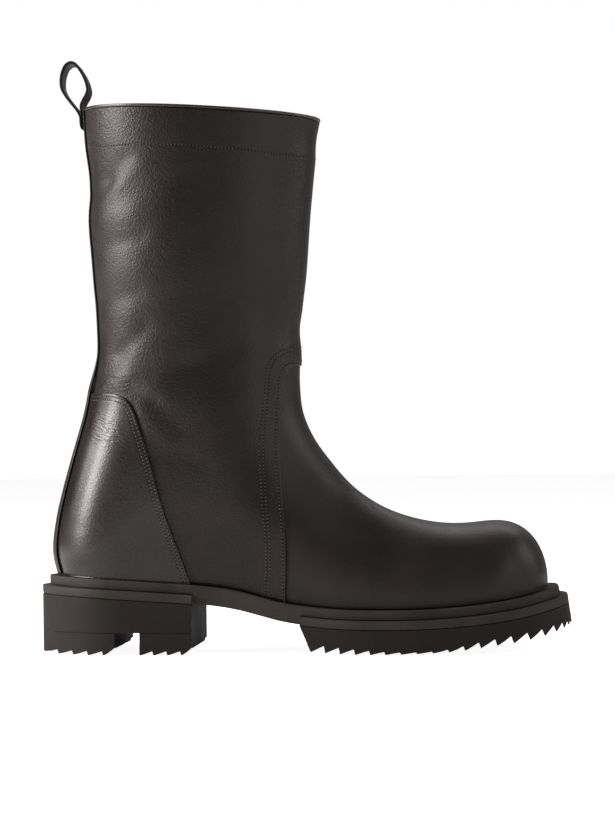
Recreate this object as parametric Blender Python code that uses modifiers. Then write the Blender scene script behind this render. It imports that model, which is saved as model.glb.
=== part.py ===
"""Creeper boot: a tall pull-on leather boot on a thick stepped rubber sole.

Right boot, standing on its sole. +X points to the toe, -Y to the outer side, +Z up.
All sizes are in metres. The upper is worked out from one last function: sections
that run from the feather line up to the instep, and behind the heel from the back
seam to the front of the shaft.
"""
import math

import bmesh
import bpy
import numpy as np

# Driving sizes of the upper
foot_length = 0.2900
ball_width = 0.0980
heel_width = 0.0660
ankle_width = 0.0910
shaft_width = 0.1130
upper_height = 0.2804
round_depth = 0.0600
collar_drop = 0.0085
vamp_wall = 0.0018
seam_step = 0.0010
overlay = 0.0012
strip_width = 0.0200
strip_proud = 0.0004
insole_thickness = 0.0030
insole_clearance = 0.0016
feather_margin = 0.0080

# Driving sizes of the sole
seat_height = 0.0456
ball_height = 0.0257
toe_height = 0.0374
toe_spring = 0.0170
welt_ledge = 0.0063
step_ledge = 0.0045
welt_band = 0.0056
step_band = 0.0052
edge_round = 0.0008
heel_breast = 0.0800
forefoot_rear = 0.1436
forefoot_slant = 0.0060
heel_skew = 0.0012
notch_rear = 0.0340
notch_front = 0.0485
notch_height = 0.0130
lug_chamfer = 0.0063
chamfer_rise = 0.0046
tooth_pitch = 0.0084
tooth_depth = 0.0027
tooth_land = 0.0009
tread_width = 0.0170
tread_recess = 0.0032
pad_inset = 0.0300

# Driving sizes of the pull loop
loop_height = 0.0270
loop_bow = 0.0150
loop_width = 0.0220
loop_strap = 0.0022
loop_tab = 0.0130

fit_gap = 0.0003
columns = 13
back_fullness = 2.15

half_ball = ball_width / 2
half_heel = heel_width / 2
half_ankle = ankle_width / 2
half_shaft = shaft_width / 2
midsole_thickness = welt_band + step_band
collar_height = seat_height + upper_height

# Colours of the finishes
leather_colour = (0.030, 0.022, 0.019, 1)
midsole_colour = (0.075, 0.068, 0.064, 1)
outsole_colour = (0.022, 0.018, 0.017, 1)
insole_colour = (0.060, 0.045, 0.038, 1)

# Top of the sole. Columns: share of the foot length from heel to toe,
# share of the drop from seat to ball, share of the rise from ball to toe
sole_top_rows = (
    (-0.10, 1.030, 0.000),
    (0.000, 1.000, 0.000),
    (0.066, 0.955, 0.000),
    (0.188, 0.844, 0.000),
    (0.290, 0.735, 0.000),
    (0.330, 0.665, 0.000),
    (0.371, 0.553, 0.000),
    (0.412, 0.395, 0.000),
    (0.453, 0.240, 0.000),
    (0.493, 0.141, 0.000),
    (0.554, 0.050, 0.000),
    (0.659, 0.000, 0.000),
    (0.735, 0.000, 0.025),
    (0.815, 0.000, 0.135),
    (0.896, 0.000, 0.365),
    (0.937, 0.000, 0.540),
    (0.979, 0.000, 0.770),
    (1.015, 0.000, 0.965),
    (1.080, 0.000, 1.200),
)

# Front of the upper in side view. Columns: share of the foot length,
# share of the upper height above the sole's top
front_rows = (
    (1.0000, -0.0500),
    (1.0000, 0.0033),
    (0.9990, 0.0463),
    (0.9897, 0.0803),
    (0.9641, 0.1281),
    (0.9272, 0.1587),
    (0.8934, 0.1679),
    (0.8417, 0.1669),
    (0.7831, 0.1723),
    (0.7210, 0.1874),
    (0.6590, 0.2126),
    (0.6038, 0.2506),
    (0.5538, 0.3060),
    (0.5176, 0.3574),
    (0.4983, 0.4053),
    (0.4924, 0.4617),
    (0.4928, 0.5331),
    (0.4886, 0.5788),
    (0.4997, 0.7086),
    (0.5114, 0.8596),
    (0.5272, 0.9897),
    (0.5359, 1.0309),
    (0.5452, 1.0736),
    (0.5530, 1.1100),
)

# Back seam of the upper in side view, same columns
back_rows = (
    (0.0030, -0.0500),
    (0.0000, 0.0014),
    (-0.0097, 0.0417),
    (-0.0114, 0.0799),
    (-0.0090, 0.1227),
    (0.0028, 0.1762),
    (0.0214, 0.2454),
    (0.0459, 0.3310),
    (0.0676, 0.4165),
    (0.0803, 0.4793),
    (0.0810, 0.5235),
    (0.0748, 0.6291),
    (0.0662, 0.7611),
    (0.0690, 0.8466),
    (0.0603, 0.9215),
    (0.0562, 1.0000),
    (0.0541, 1.0428),
    (0.0530, 1.0900),
)

# Sections of the last. The first column is the lower end: 0 at the toe tip, 1 at the
# back of the heel, 2 at the back of the collar. The second is the upper end as a share
# of the front line. Then come the half widths at the lower end, at a quarter, at the
# middle and at three quarters, the share of the rounding's depth and the fullness of
# the rounding at the front, and the share of its depth at the back.
section_rows = (
    (0.000, 0.000, 0.98 * half_ball, 1.00 * half_ball, 1.00 * half_ball, 0.98 * half_ball,
     0.7333, 2.50, 0.6333),
    (0.027, 0.082, 0.97 * half_ball, 1.00 * half_ball, 1.01 * half_ball, 1.00 * half_ball,
     0.7333, 2.50, 0.6333),
    (0.105, 0.152, 0.98 * half_ball, 1.02 * half_ball, 1.03 * half_ball, 1.02 * half_ball,
     0.7500, 2.35, 0.6333),
    (0.165, 0.195, 0.99 * half_ball, 1.04 * half_ball, 1.05 * half_ball, 1.04 * half_ball,
     0.7833, 2.25, 0.6333),
    (0.286, 0.286, 1.00 * half_ball, 1.06 * half_ball, 1.07 * half_ball, 1.02 * half_ball,
     0.8667, 2.10, 0.6333),
    (0.389, 0.337, 0.94 * half_ball, 1.00 * half_ball, 1.02 * half_ball, 0.94 * half_ball,
     0.9333, 2.05, 0.6333),
    (0.493, 0.392, 0.82 * half_ball, 0.89 * half_ball, 0.92 * half_ball, 0.86 * half_ball,
     1.0000, 2.05, 0.6333),
    (0.596, 0.452, 0.71 * half_ball, 0.80 * half_ball, 0.87 * half_ball, 0.85 * half_ball,
     1.0333, 2.05, 0.6333),
    (0.734, 0.505, 1.00 * half_heel, 1.12 * half_heel, 0.92 * half_ankle, 0.94 * half_ankle,
     1.0333, 2.05, 0.6333),
    (0.872, 0.542, 1.00 * half_heel, 1.09 * half_heel, 0.90 * half_ankle, 0.97 * half_ankle,
     1.0333, 2.05, 0.6500),
    (1.000, 0.568, 1.00 * half_heel, 1.09 * half_heel, 0.90 * half_ankle, 0.99 * half_ankle,
     1.0333, 2.05, 0.6833),
    (1.123, 0.608, 1.08 * half_heel, 1.12 * half_heel, 0.92 * half_ankle, 1.00 * half_ankle,
     1.0500, 2.05, 0.7167),
    (1.265, 0.649, 1.15 * half_heel, 1.19 * half_heel, 0.95 * half_ankle, 1.00 * half_ankle,
     1.0667, 2.05, 0.7667),
    (1.426, 0.698, 0.94 * half_ankle, 0.96 * half_ankle, 1.00 * half_ankle, 1.01 * half_ankle,
     1.1000, 2.05, 0.8667),
    (1.515, 0.727, 1.00 * half_ankle, 1.01 * half_ankle, 1.03 * half_ankle, 1.04 * half_ankle,
     1.1333, 2.05, 0.9000),
    (1.675, 0.796, 0.90 * half_shaft, 0.91 * half_shaft, 0.92 * half_shaft, 0.92 * half_shaft,
     1.2167, 2.05, 0.9667),
    (1.836, 0.902, 0.96 * half_shaft, 0.96 * half_shaft, 0.96 * half_shaft, 0.96 * half_shaft,
     1.3167, 2.05, 1.0167),
    (2.000, 1.000, 1.00 * half_shaft, 1.00 * half_shaft, 1.00 * half_shaft, 1.00 * half_shaft,
     1.3667, 2.05, 1.0500),
    (2.045, 1.028, 1.01 * half_shaft, 1.01 * half_shaft, 1.01 * half_shaft, 1.01 * half_shaft,
     1.3833, 2.05, 1.0667),
)

# Where the sections are taken, along the first column of the table above
section_stations = (
    0, 0.0015, 0.006, 0.014, 0.027, 0.045, 0.070, 0.100, 0.133, 0.170, 0.210, 0.250, 0.295, 0.345,
    0.400, 0.455, 0.510, 0.565, 0.625, 0.690, 0.755, 0.815, 0.870, 0.915, 0.948, 0.972, 0.988, 1.0,
    1.025, 1.055, 1.095, 1.145, 1.20, 1.26, 1.32, 1.38, 1.44, 1.50, 1.57, 1.66, 1.76, 1.87, 1.96, 2.045,
)

# Middle line of the foot in plan. Columns: share of the foot length, share of the ball width
axis_rows = (
    (-0.05, 0.032),
    (0.00, 0.028),
    (0.13, 0.012),
    (0.30, -0.016),
    (0.50, -0.022),
    (0.70, -0.004),
    (0.88, 0.026),
    (1.00, 0.046),
    (1.05, 0.055),
)

# Inner side's width as a share of the outer side's, along the foot length
inner_side_rows = (
    (-0.05, 1.00),
    (0.15, 0.99),
    (0.35, 0.93),
    (0.55, 0.92),
    (0.75, 0.97),
    (0.90, 1.01),
    (1.05, 1.02),
)

# Edge of the shaft over the vamp in side view, from the instep down to the sole.
# Columns: share of the foot length, share of the upper height above the sole's top
vamp_seam_rows = (
    (0.4810, 0.5010),
    (0.4684, 0.4913),
    (0.4611, 0.4719),
    (0.4581, 0.4393),
    (0.4543, 0.3905),
    (0.4513, 0.3299),
    (0.4547, 0.2708),
    (0.4573, 0.2315),
    (0.4629, 0.1724),
    (0.4661, 0.1131),
    (0.4660, 0.0732),
    (0.4640, 0.0086),
)

# Edge of the heel counter in side view, from the back seam down to the sole
counter_rows = (
    (0.0653, 0.3894),
    (0.1001, 0.3916),
    (0.1259, 0.3895),
    (0.1438, 0.3825),
    (0.1577, 0.3645),
    (0.1710, 0.3269),
    (0.1875, 0.2720),
    (0.2037, 0.2106),
    (0.2198, 0.1489),
    (0.2360, 0.1013),
    (0.2521, 0.0571),
    (0.2698, 0.0041),
)


# Lower edge of the forefoot's tread. Columns: share of the foot length, share of the toe spring
tread_rows = (
    (0.48, 0.190),
    (0.52, 0.130),
    (0.58, 0.060),
    (0.66, 0.035),
    (0.73, 0.065),
    (0.80, 0.130),
    (0.86, 0.270),
    (0.92, 0.420),
    (0.97, 0.600),
    (1.00, 0.740),
    (1.03, 0.860),
    (1.08, 1.030),
)


def smooth_values(xs, ys, at):
    """Smooth curve through points, read at the given places."""
    xs = np.asarray(xs, float)
    ys = np.asarray(ys, float)
    slopes = np.gradient(ys, xs)
    at = np.clip(at, xs[0], xs[-1])
    i = np.clip(np.searchsorted(xs, at, side="right") - 1, 0, len(xs) - 2)
    step = xs[i + 1] - xs[i]
    t = (at - xs[i]) / step
    start = (1 + 2 * t) * (1 - t) ** 2 * ys[i]
    end = t ** 2 * (3 - 2 * t) * ys[i + 1]
    return start + end + step * t * (1 - t) * ((1 - t) * slopes[i] - t * slopes[i + 1])


def column(rows, number):
    """One column of a table."""
    return [row[number] for row in rows]


def smooth_line(points, count):
    """Evenly dense line through points of the side view."""
    points = np.asarray(points, float)
    chord = np.r_[0, np.cumsum(np.hypot(*np.diff(points, axis=0).T))]
    at = np.linspace(0, chord[-1], count)
    return np.c_[smooth_values(chord, points[:, 0], at), smooth_values(chord, points[:, 1], at)]


def sole_top(x):
    """Height of the sole's top at a distance from the back of the heel."""
    along = np.asarray(x, float) / foot_length
    drop = smooth_values(column(sole_top_rows, 0), column(sole_top_rows, 1), along)
    rise = smooth_values(column(sole_top_rows, 0), column(sole_top_rows, 2), along)
    return ball_height + (seat_height - ball_height) * drop + (toe_height - ball_height) * rise


def side_points(rows):
    """Turns rows of shares into points of the side view."""
    x = np.array(column(rows, 0)) * foot_length
    return np.c_[x, sole_top(x) + np.array(column(rows, 1)) * upper_height]


def middle_line(x):
    along = np.asarray(x) / foot_length
    return smooth_values(column(axis_rows, 0), column(axis_rows, 1), along) * ball_width


def inner_share(x):
    along = np.asarray(x) / foot_length
    return smooth_values(column(inner_side_rows, 0), column(inner_side_rows, 1), along)


front_line = smooth_line(side_points(front_rows), 420)
back_line = smooth_line(side_points(back_rows), 300)


def line_from_feather(line, start_share, end_share):
    """The part of a side-view line between two shares of the upper height."""
    share = (line[:, 1] - sole_top(line[:, 0])) / upper_height
    first = int(np.argmax(share > start_share))
    last = int(np.argmax(share > end_share)) or len(line) - 1
    return line[first:last + 1]


front_edge = line_from_feather(front_line, 0.0033, 1.0309)
back_edge = line_from_feather(back_line, 0.0014, 1.0000)


def along_line(line, share):
    """Point at a share of a line's length, carried straight on past its end."""
    length = np.r_[0, np.cumsum(np.hypot(*np.diff(line, axis=0).T))]
    at = share * length[-1]
    x = np.interp(at, length, line[:, 0])
    z = np.interp(at, length, line[:, 1])
    if share > 1:
        direction = (line[-1] - line[-6]) / np.hypot(*(line[-1] - line[-6]))
        x += direction[0] * (at - length[-1])
        z += direction[1] * (at - length[-1])
    return np.array((x, z))


def lower_end(station):
    """Lower end of a section: on the feather line, or on the back seam."""
    if station <= 1:
        x = foot_length * (1 - station)
        return np.array((x, float(sole_top(x))))
    return along_line(back_edge, station - 1)


def upper_end(station):
    return along_line(front_edge, smooth_values(column(section_rows, 0), column(section_rows, 1), station))


def distance_to(line, points):
    """Shortest distance from each point to a line of the side view."""
    start = line[:-1][None]
    run = (line[1:] - line[:-1])[None]
    along = ((points[:, None] - start) * run).sum(2) / (run ** 2).sum(2)
    nearest = start + run * np.clip(along, 0, 1)[..., None]
    return np.hypot(*np.moveaxis(points[:, None] - nearest, 2, 0)).min(1)


def rounding(distance, depth, power):
    """Share of the full width at a distance from the edge: a superellipse quarter."""
    inside = 1 - np.clip(distance / depth, 0, 1)
    return (1 - inside ** power) ** (1 / power)


def half_widths(station, points, place):
    """Half width of the last at points of one section; place is their share of it."""
    values = [smooth_values(column(section_rows, 0), column(section_rows, k), station) for k in range(2, 9)]
    width = smooth_values((0, 0.25, 0.5, 0.75, 1.0), (*values[:4], values[3]), place)
    front = rounding(distance_to(front_line, points), values[4] * round_depth, values[5])
    back = rounding(distance_to(back_line, points), values[6] * round_depth, back_fullness)
    return width * front * back


def section_points(station):
    """Both sides of one section, from the lower end to the upper end."""
    low = lower_end(station)
    high = upper_end(station) if station > 0 else low
    closed = float(np.clip((station - 0.70) / 0.30, 0, 1))
    t = np.linspace(0, 1, columns + 1)
    place = (1 - closed) * (1 - (1 - t) ** 1.8) + closed * (1 - np.cos(math.pi * t)) / 2
    points = low + np.outer(place, high - low)
    width = half_widths(station, points, place)
    width[-1] = 0
    if station >= 1:
        width[0] = 0
    if station == 0:
        width[:] = 0
    lift = np.clip((points[:, 1] - sole_top(points[:, 0])) / (0.45 * upper_height), 0, 1)
    middle = middle_line(points[:, 0]) * (1 - lift ** 2 * (3 - 2 * lift))
    narrow = 1 - (1 - inner_share(points[:, 0])) * (1 - lift)
    outer = np.c_[points[:, 0], middle - width, points[:, 1]]
    inner = np.c_[points[:, 0], middle + width * narrow, points[:, 1]]
    return outer, inner


def make_collection(name):
    collection = bpy.data.collections.new(name)
    bpy.context.scene.collection.children.link(collection)
    return collection


def make_material(name, colour, roughness):
    material = bpy.data.materials.new(name)
    material.use_nodes = True
    shader = material.node_tree.nodes["Principled BSDF"]
    shader.inputs["Base Color"].default_value = colour
    shader.inputs["Roughness"].default_value = roughness
    shader.inputs["Metallic"].default_value = 0
    return material


def add_object(mesh_name, bm, collection, material=None):
    """Puts a bmesh in the scene as an object of its own."""
    bmesh.ops.remove_doubles(bm, verts=bm.verts, dist=0.000001)
    bmesh.ops.dissolve_degenerate(bm, edges=bm.edges, dist=0.000001)
    bmesh.ops.recalc_face_normals(bm, faces=bm.faces)
    mesh = bpy.data.meshes.new(mesh_name)
    bm.to_mesh(mesh)
    bm.free()
    obj = bpy.data.objects.new(mesh_name, mesh)
    collection.objects.link(obj)
    if material:
        mesh.materials.append(material)
        mesh.shade_smooth()
        mesh.set_sharp_from_angle(angle=math.radians(35))
    else:
        obj.hide_render = True
        obj.display_type = "WIRE"
    return obj


def bridge(bm, one, other):
    """Quads between two rows of vertices."""
    for k in range(len(one) - 1):
        corners = (one[k], one[k + 1], other[k + 1], other[k])
        bm.faces.new(corners)


def last_form(offset, name, collection, material=None):
    """Closed solid of the last, grown outwards by an offset, longer at foot and collar."""
    bm = bmesh.new()
    rows = []
    for station in section_stations:
        outer, inner = section_points(station)
        rows.append([[bm.verts.new(p) for p in side] for side in (outer, inner)])
    for one, other in zip(rows, rows[1:]):
        bridge(bm, one[0], other[0])
        bridge(bm, other[1], one[1])
    last_foot = section_stations.index(1.0)
    hem = [[], []]
    for row in rows[:last_foot + 1]:
        for side in (0, 1):
            hem[side].append(bm.verts.new(row[side][0].co))
            hem[side][-1].co.z -= feather_margin
    for side in (0, 1):
        bridge(bm, [row[side][0] for row in rows[:last_foot + 1]], hem[side])
    bridge(bm, hem[0], hem[1])
    bm.faces.new(rows[-1][0] + rows[-1][1][-2:0:-1])
    bmesh.ops.remove_doubles(bm, verts=bm.verts, dist=0.000001)
    bmesh.ops.dissolve_degenerate(bm, edges=bm.edges, dist=0.000001)
    bmesh.ops.recalc_face_normals(bm, faces=bm.faces)
    bm.normal_update()
    for vert in bm.verts:
        vert.co += vert.normal * offset
    bmesh.ops.triangulate(bm, faces=bm.faces, quad_method="FIXED")
    return add_object(name, bm, collection, material)


def side_prism(name, points, near, far, collection):
    """Closed plate with a side-view outline, between two depths."""
    bm = bmesh.new()
    face = bm.faces.new([bm.verts.new((x, near, z)) for x, z in points])
    grown = bmesh.ops.extrude_face_region(bm, geom=[face])
    for item in grown["geom"]:
        if isinstance(item, bmesh.types.BMVert):
            item.co.y = far
    return add_object(name, bm, collection)


def cut(obj, operation, cutter):
    modifier = obj.modifiers.new(cutter.name, "BOOLEAN")
    modifier.operation = operation
    modifier.solver = "EXACT"
    modifier.object = cutter
    return modifier


def feather_outline():
    """Feather line in plan: rows of x, outer y, inner y from the heel's back to the toe."""
    rows = []
    turns = np.linspace(0, math.pi, 121)
    for x in foot_length * (1 - np.cos(turns)) / 2:
        station = 1 - x / foot_length
        point = np.array([(x, float(sole_top(x)))])
        width = float(half_widths(station, point, np.array([0.0]))[0])
        if min(x, foot_length - x) < 0.000001:
            width = 0
        middle = float(middle_line(x))
        rows.append((x, middle - width, middle + width * float(inner_share(x))))
    return np.array(rows)


def grown_sides(offset):
    """Outer and inner side of the sole's outline, grown from the feather line."""
    rows = feather_outline()
    outer = rows[:, (0, 1)]
    inner = rows[:, (0, 2)]
    loop = np.r_[outer, inner[-2:0:-1]]
    tangent = np.roll(loop, -1, 0) - np.roll(loop, 1, 0)
    tangent /= np.hypot(*tangent.T)[:, None]
    grown = loop + offset * np.c_[tangent[:, 1], -tangent[:, 0]]
    count = len(rows)
    return grown[:count], np.r_[grown[:1], grown[:count - 1:-1], grown[count - 1:count]]


def side_point(line, share):
    """Point at a share of a side's length."""
    length = np.r_[0, np.cumsum(np.hypot(*np.diff(line, axis=0).T))]
    at = np.asarray(share) * length[-1]
    return np.c_[np.interp(at, length, line[:, 0]), np.interp(at, length, line[:, 1])]


def share_at(line, x):
    """Share of a side's length at which it passes a distance from the heel."""
    length = np.r_[0, np.cumsum(np.hypot(*np.diff(line, axis=0).T))]
    widest = int(np.argmax(line[:, 0]))
    return float(np.interp(x, line[:widest + 1, 0], length[:widest + 1]) / length[-1])


def wall_tilt(x):
    """Slope of the sole's end walls, which lean with the toe spring."""
    step = 0.002
    slope = (sole_top(np.asarray(x) + step) - sole_top(np.asarray(x) - step)) / (2 * step)
    return np.where(np.asarray(x) > 0.66 * foot_length, np.clip(slope, 0, 1), 0)


def sole_solid(name, levels, collection, material, slant=0):
    """Stacks rings of the sole's outline. A level is a pair of sides, each with its heights."""
    bm = bmesh.new()
    rings = []
    for sides in levels:
        ring = []
        for points, heights in sides:
            x, y = points.T
            depth = sole_top(x) - heights
            lean = wall_tilt(x) * depth
            verts = [bm.verts.new(v) for v in zip(x + lean, y, heights)]
            if slant:
                under = depth[0] - midsole_thickness
                verts[0].co.x += slant * under
            ring.append(verts)
        rings.append(ring)
    for upper_ring, lower_ring in zip(rings, rings[1:]):
        bridge(bm, upper_ring[0], lower_ring[0])
        bridge(bm, lower_ring[1], upper_ring[1])
        bm.faces.new((upper_ring[0][0], upper_ring[1][0], lower_ring[1][0], lower_ring[0][0]))
        bm.faces.new((upper_ring[0][-1], upper_ring[1][-1], lower_ring[1][-1], lower_ring[0][-1]))
    bridge(bm, rings[0][0], rings[0][1])
    bridge(bm, rings[-1][1], rings[-1][0])
    loose = [f for f in bm.faces if len({tuple(round(c, 7) for c in v.co) for v in f.verts}) < 3]
    bmesh.ops.delete(bm, geom=loose, context="FACES_ONLY")
    return add_object(name, bm, collection, material)


def level(offset, shares, height):
    """One ring: both sides at an offset, with a height rule for each point."""
    sides = []
    for side in (0, 1):
        grown = side_point_offset(shares[side], offset, side)
        sides.append((grown, height(grown[:, 0])))
    return sides


def side_point_offset(shares, offset, side):
    """Points of a side at given shares, moved outwards by an offset for each point."""
    line = grown_sides(welt_ledge)[side]
    points = side_point(line, shares)
    ahead = side_point(line, np.clip(np.asarray(shares) + 0.004, 0, 1))
    behind = side_point(line, np.clip(np.asarray(shares) - 0.004, 0, 1))
    tangent = ahead - behind
    ends = (np.asarray(shares) < 0.0001) | (np.asarray(shares) > 0.9999)
    tangent[ends] = (0, 1)
    tangent /= np.hypot(*tangent.T)[:, None]
    outward = np.c_[tangent[:, 1], -tangent[:, 0]] * (1 if side == 0 else -1)
    outward[np.asarray(shares) < 0.0001] = (-1, 0)
    outward[np.asarray(shares) > 0.9999] = (1, 0)
    return points + outward * np.asarray(offset)[..., None]


def build_midsole(collection, material):
    """Full-length plate with a stepped rim under the heel and the forefoot."""
    line = grown_sides(welt_ledge)[0]
    heel_end = share_at(line, heel_breast)
    fore_end = share_at(line, forefoot_rear)
    ease = 0.0012
    shares = np.r_[
        0, 0.008, 0.02, np.linspace(0.035, heel_end - 0.012, 11), heel_end - ease, heel_end + ease,
        np.linspace(heel_end + 0.02, fore_end - 0.02, 5), fore_end - ease, fore_end + ease,
        np.linspace(fore_end + 0.02, 0.965, 17), 0.98, 0.992, 1,
    ]
    stepped = (shares < heel_end) | (shares > fore_end)
    both = (shares, shares)

    def at(depth):
        return lambda x: sole_top(x) - depth

    step = np.where(stepped, step_ledge, 0)
    plain = np.zeros_like(step)
    round_in = np.where(stepped, step_ledge - edge_round, 0)
    levels = [
        level(plain - edge_round, both, at(0)),
        level(plain, both, at(edge_round)),
        level(plain, both, at(welt_band - edge_round)),
        level(plain - np.where(stepped, edge_round, 0), both, at(welt_band)),
        level(round_in, both, at(welt_band + edge_round / 4)),
        level(step, both, at(welt_band + edge_round)),
        level(step, both, at(midsole_thickness - edge_round / 2)),
        level(step - edge_round / 2, both, at(midsole_thickness)),
    ]
    return sole_solid("midsole", levels, collection, material)


def tread_height(x):
    share = smooth_values(column(tread_rows, 0), column(tread_rows, 1), np.asarray(x) / foot_length)
    return toe_spring * share


def tooth_stations(line, start, end):
    """Shares along a side with the tip, land and valley of each tooth, and their heights."""
    length = float(np.hypot(*np.diff(line, axis=0).T).sum())
    count = max(1, round((end - start) * length / tooth_pitch))
    pitch = (end - start) / count
    shares = []
    heights = []
    for k in range(count):
        for place, height in ((0, 0), (tooth_land / tooth_pitch, 0), (0.88, 1.0)):
            shares.append(start + (k + place) * pitch)
            heights.append(height * tooth_depth)
    shares.append(end)
    heights.append(0)
    return np.array(shares), np.array(heights)


def build_treaded(name, start_x, end_x, ground, collection, material, slant=0, pad_floor=None):
    """Heel block or forefoot outsole: flush wall, saw teeth round the rim, pad in the middle."""
    sides = grown_sides(welt_ledge)
    shares = []
    teeth = []
    for side, line in enumerate(sides):
        start = share_at(line, start_x[side]) if start_x else 0
        end = share_at(line, end_x[side]) if end_x else 1
        side_shares, heights = tooth_stations(line, start, end)
        shares.append(side_shares)
        teeth.append(heights)
    count = min(len(s) for s in shares)
    if len(shares[0]) != len(shares[1]):
        fewest = teeth[min((0, 1), key=lambda k: len(teeth[k]))]
        for side in (0, 1):
            own = np.linspace(0, 1, len(shares[side]))
            shares[side] = np.interp(np.linspace(0, 1, count), own, shares[side])
            teeth[side] = fewest
    flat = np.full(count, step_ledge)

    def ring(offset, height):
        pair = []
        for side in (0, 1):
            plan = side_point_offset(shares[side], offset, side)
            pair.append((plan, height(plan[:, 0], teeth[side])))
        return pair

    def top(x, _):
        return sole_top(x) - midsole_thickness - fit_gap

    def tooth(x, height):
        return ground(x) + height

    def recess(x, _):
        return ground(x) + tread_recess

    def pad(x, _):
        return pad_floor(x)

    levels = [
        ring(flat, top),
        ring(flat, tooth),
        ring(flat - tread_width, tooth),
        ring(flat - tread_width - edge_round, recess),
        ring(flat - pad_inset, recess),
        ring(flat - pad_inset - edge_round, pad),
    ]
    return sole_solid(name, levels, collection, material, slant)


def build_pull_loop(collection, material):
    """Strap folded into a loop behind the collar, with its tab against the back strip."""
    proud = seam_step + fit_gap + overlay + strip_proud + fit_gap + loop_strap / 2
    back = along_line(back_edge, 1.0) + np.array((-proud - 0.0002, 0))
    foot = along_line(back_edge, 1.0 - loop_tab / upper_height) + np.array((-proud, 0))
    rise = loop_height
    bow = loop_bow
    shape = [
        foot,
        (foot + back) / 2,
        back,
        back + (-0.10 * bow, 0.10 * rise),
        back + (-0.38 * bow, 0.25 * rise),
        back + (-0.58 * bow, 0.50 * rise),
        back + (-0.54 * bow, 0.76 * rise),
        back + (-0.28 * bow, 0.98 * rise),
        back + (0.04 * bow, 0.92 * rise),
        back + (0.27 * bow, 0.66 * rise),
        back + (0.43 * bow, 0.38 * rise),
        back + (0.34 * bow, 0.20 * rise),
        back + (loop_strap + fit_gap, 0.085 * rise),
    ]
    path = smooth_line([tuple(p) for p in shape], 34)
    bm = bmesh.new()
    rows = []
    for x, z in path:
        rows.append([bm.verts.new((x, y * loop_width, z)) for y in (-0.5, 0, 0.5)])
    for one, other in zip(rows, rows[1:]):
        bridge(bm, one, other)
    obj = add_object("pull_loop", bm, collection, material)
    solid = obj.modifiers.new("strap", "SOLIDIFY")
    solid.thickness = loop_strap
    solid.offset = 0
    solid.use_even_offset = True
    return obj


def place(objects):
    """Moves the model so that its middle stands over the origin."""
    shares = np.linspace(0, 1, 401)
    outline = np.concatenate([side_point_offset(shares, np.full(401, step_ledge), k) for k in (0, 1)])
    low = outline.min(0)
    high = outline.max(0)
    depth = sole_top(high[0]) - tread_height(high[0])
    high[0] += float(wall_tilt(high[0]) * depth)
    anchor = bpy.data.objects.new("boot_origin", None)
    anchor.location = (-(low[0] + high[0]) / 2, -(low[1] + high[1]) / 2, 0)
    bpy.context.scene.collection.objects.link(anchor)
    for obj in objects:
        obj.parent = anchor


def clear_scene():
    for obj in list(bpy.data.objects):
        bpy.data.objects.remove(obj, do_unlink=True)


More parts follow.
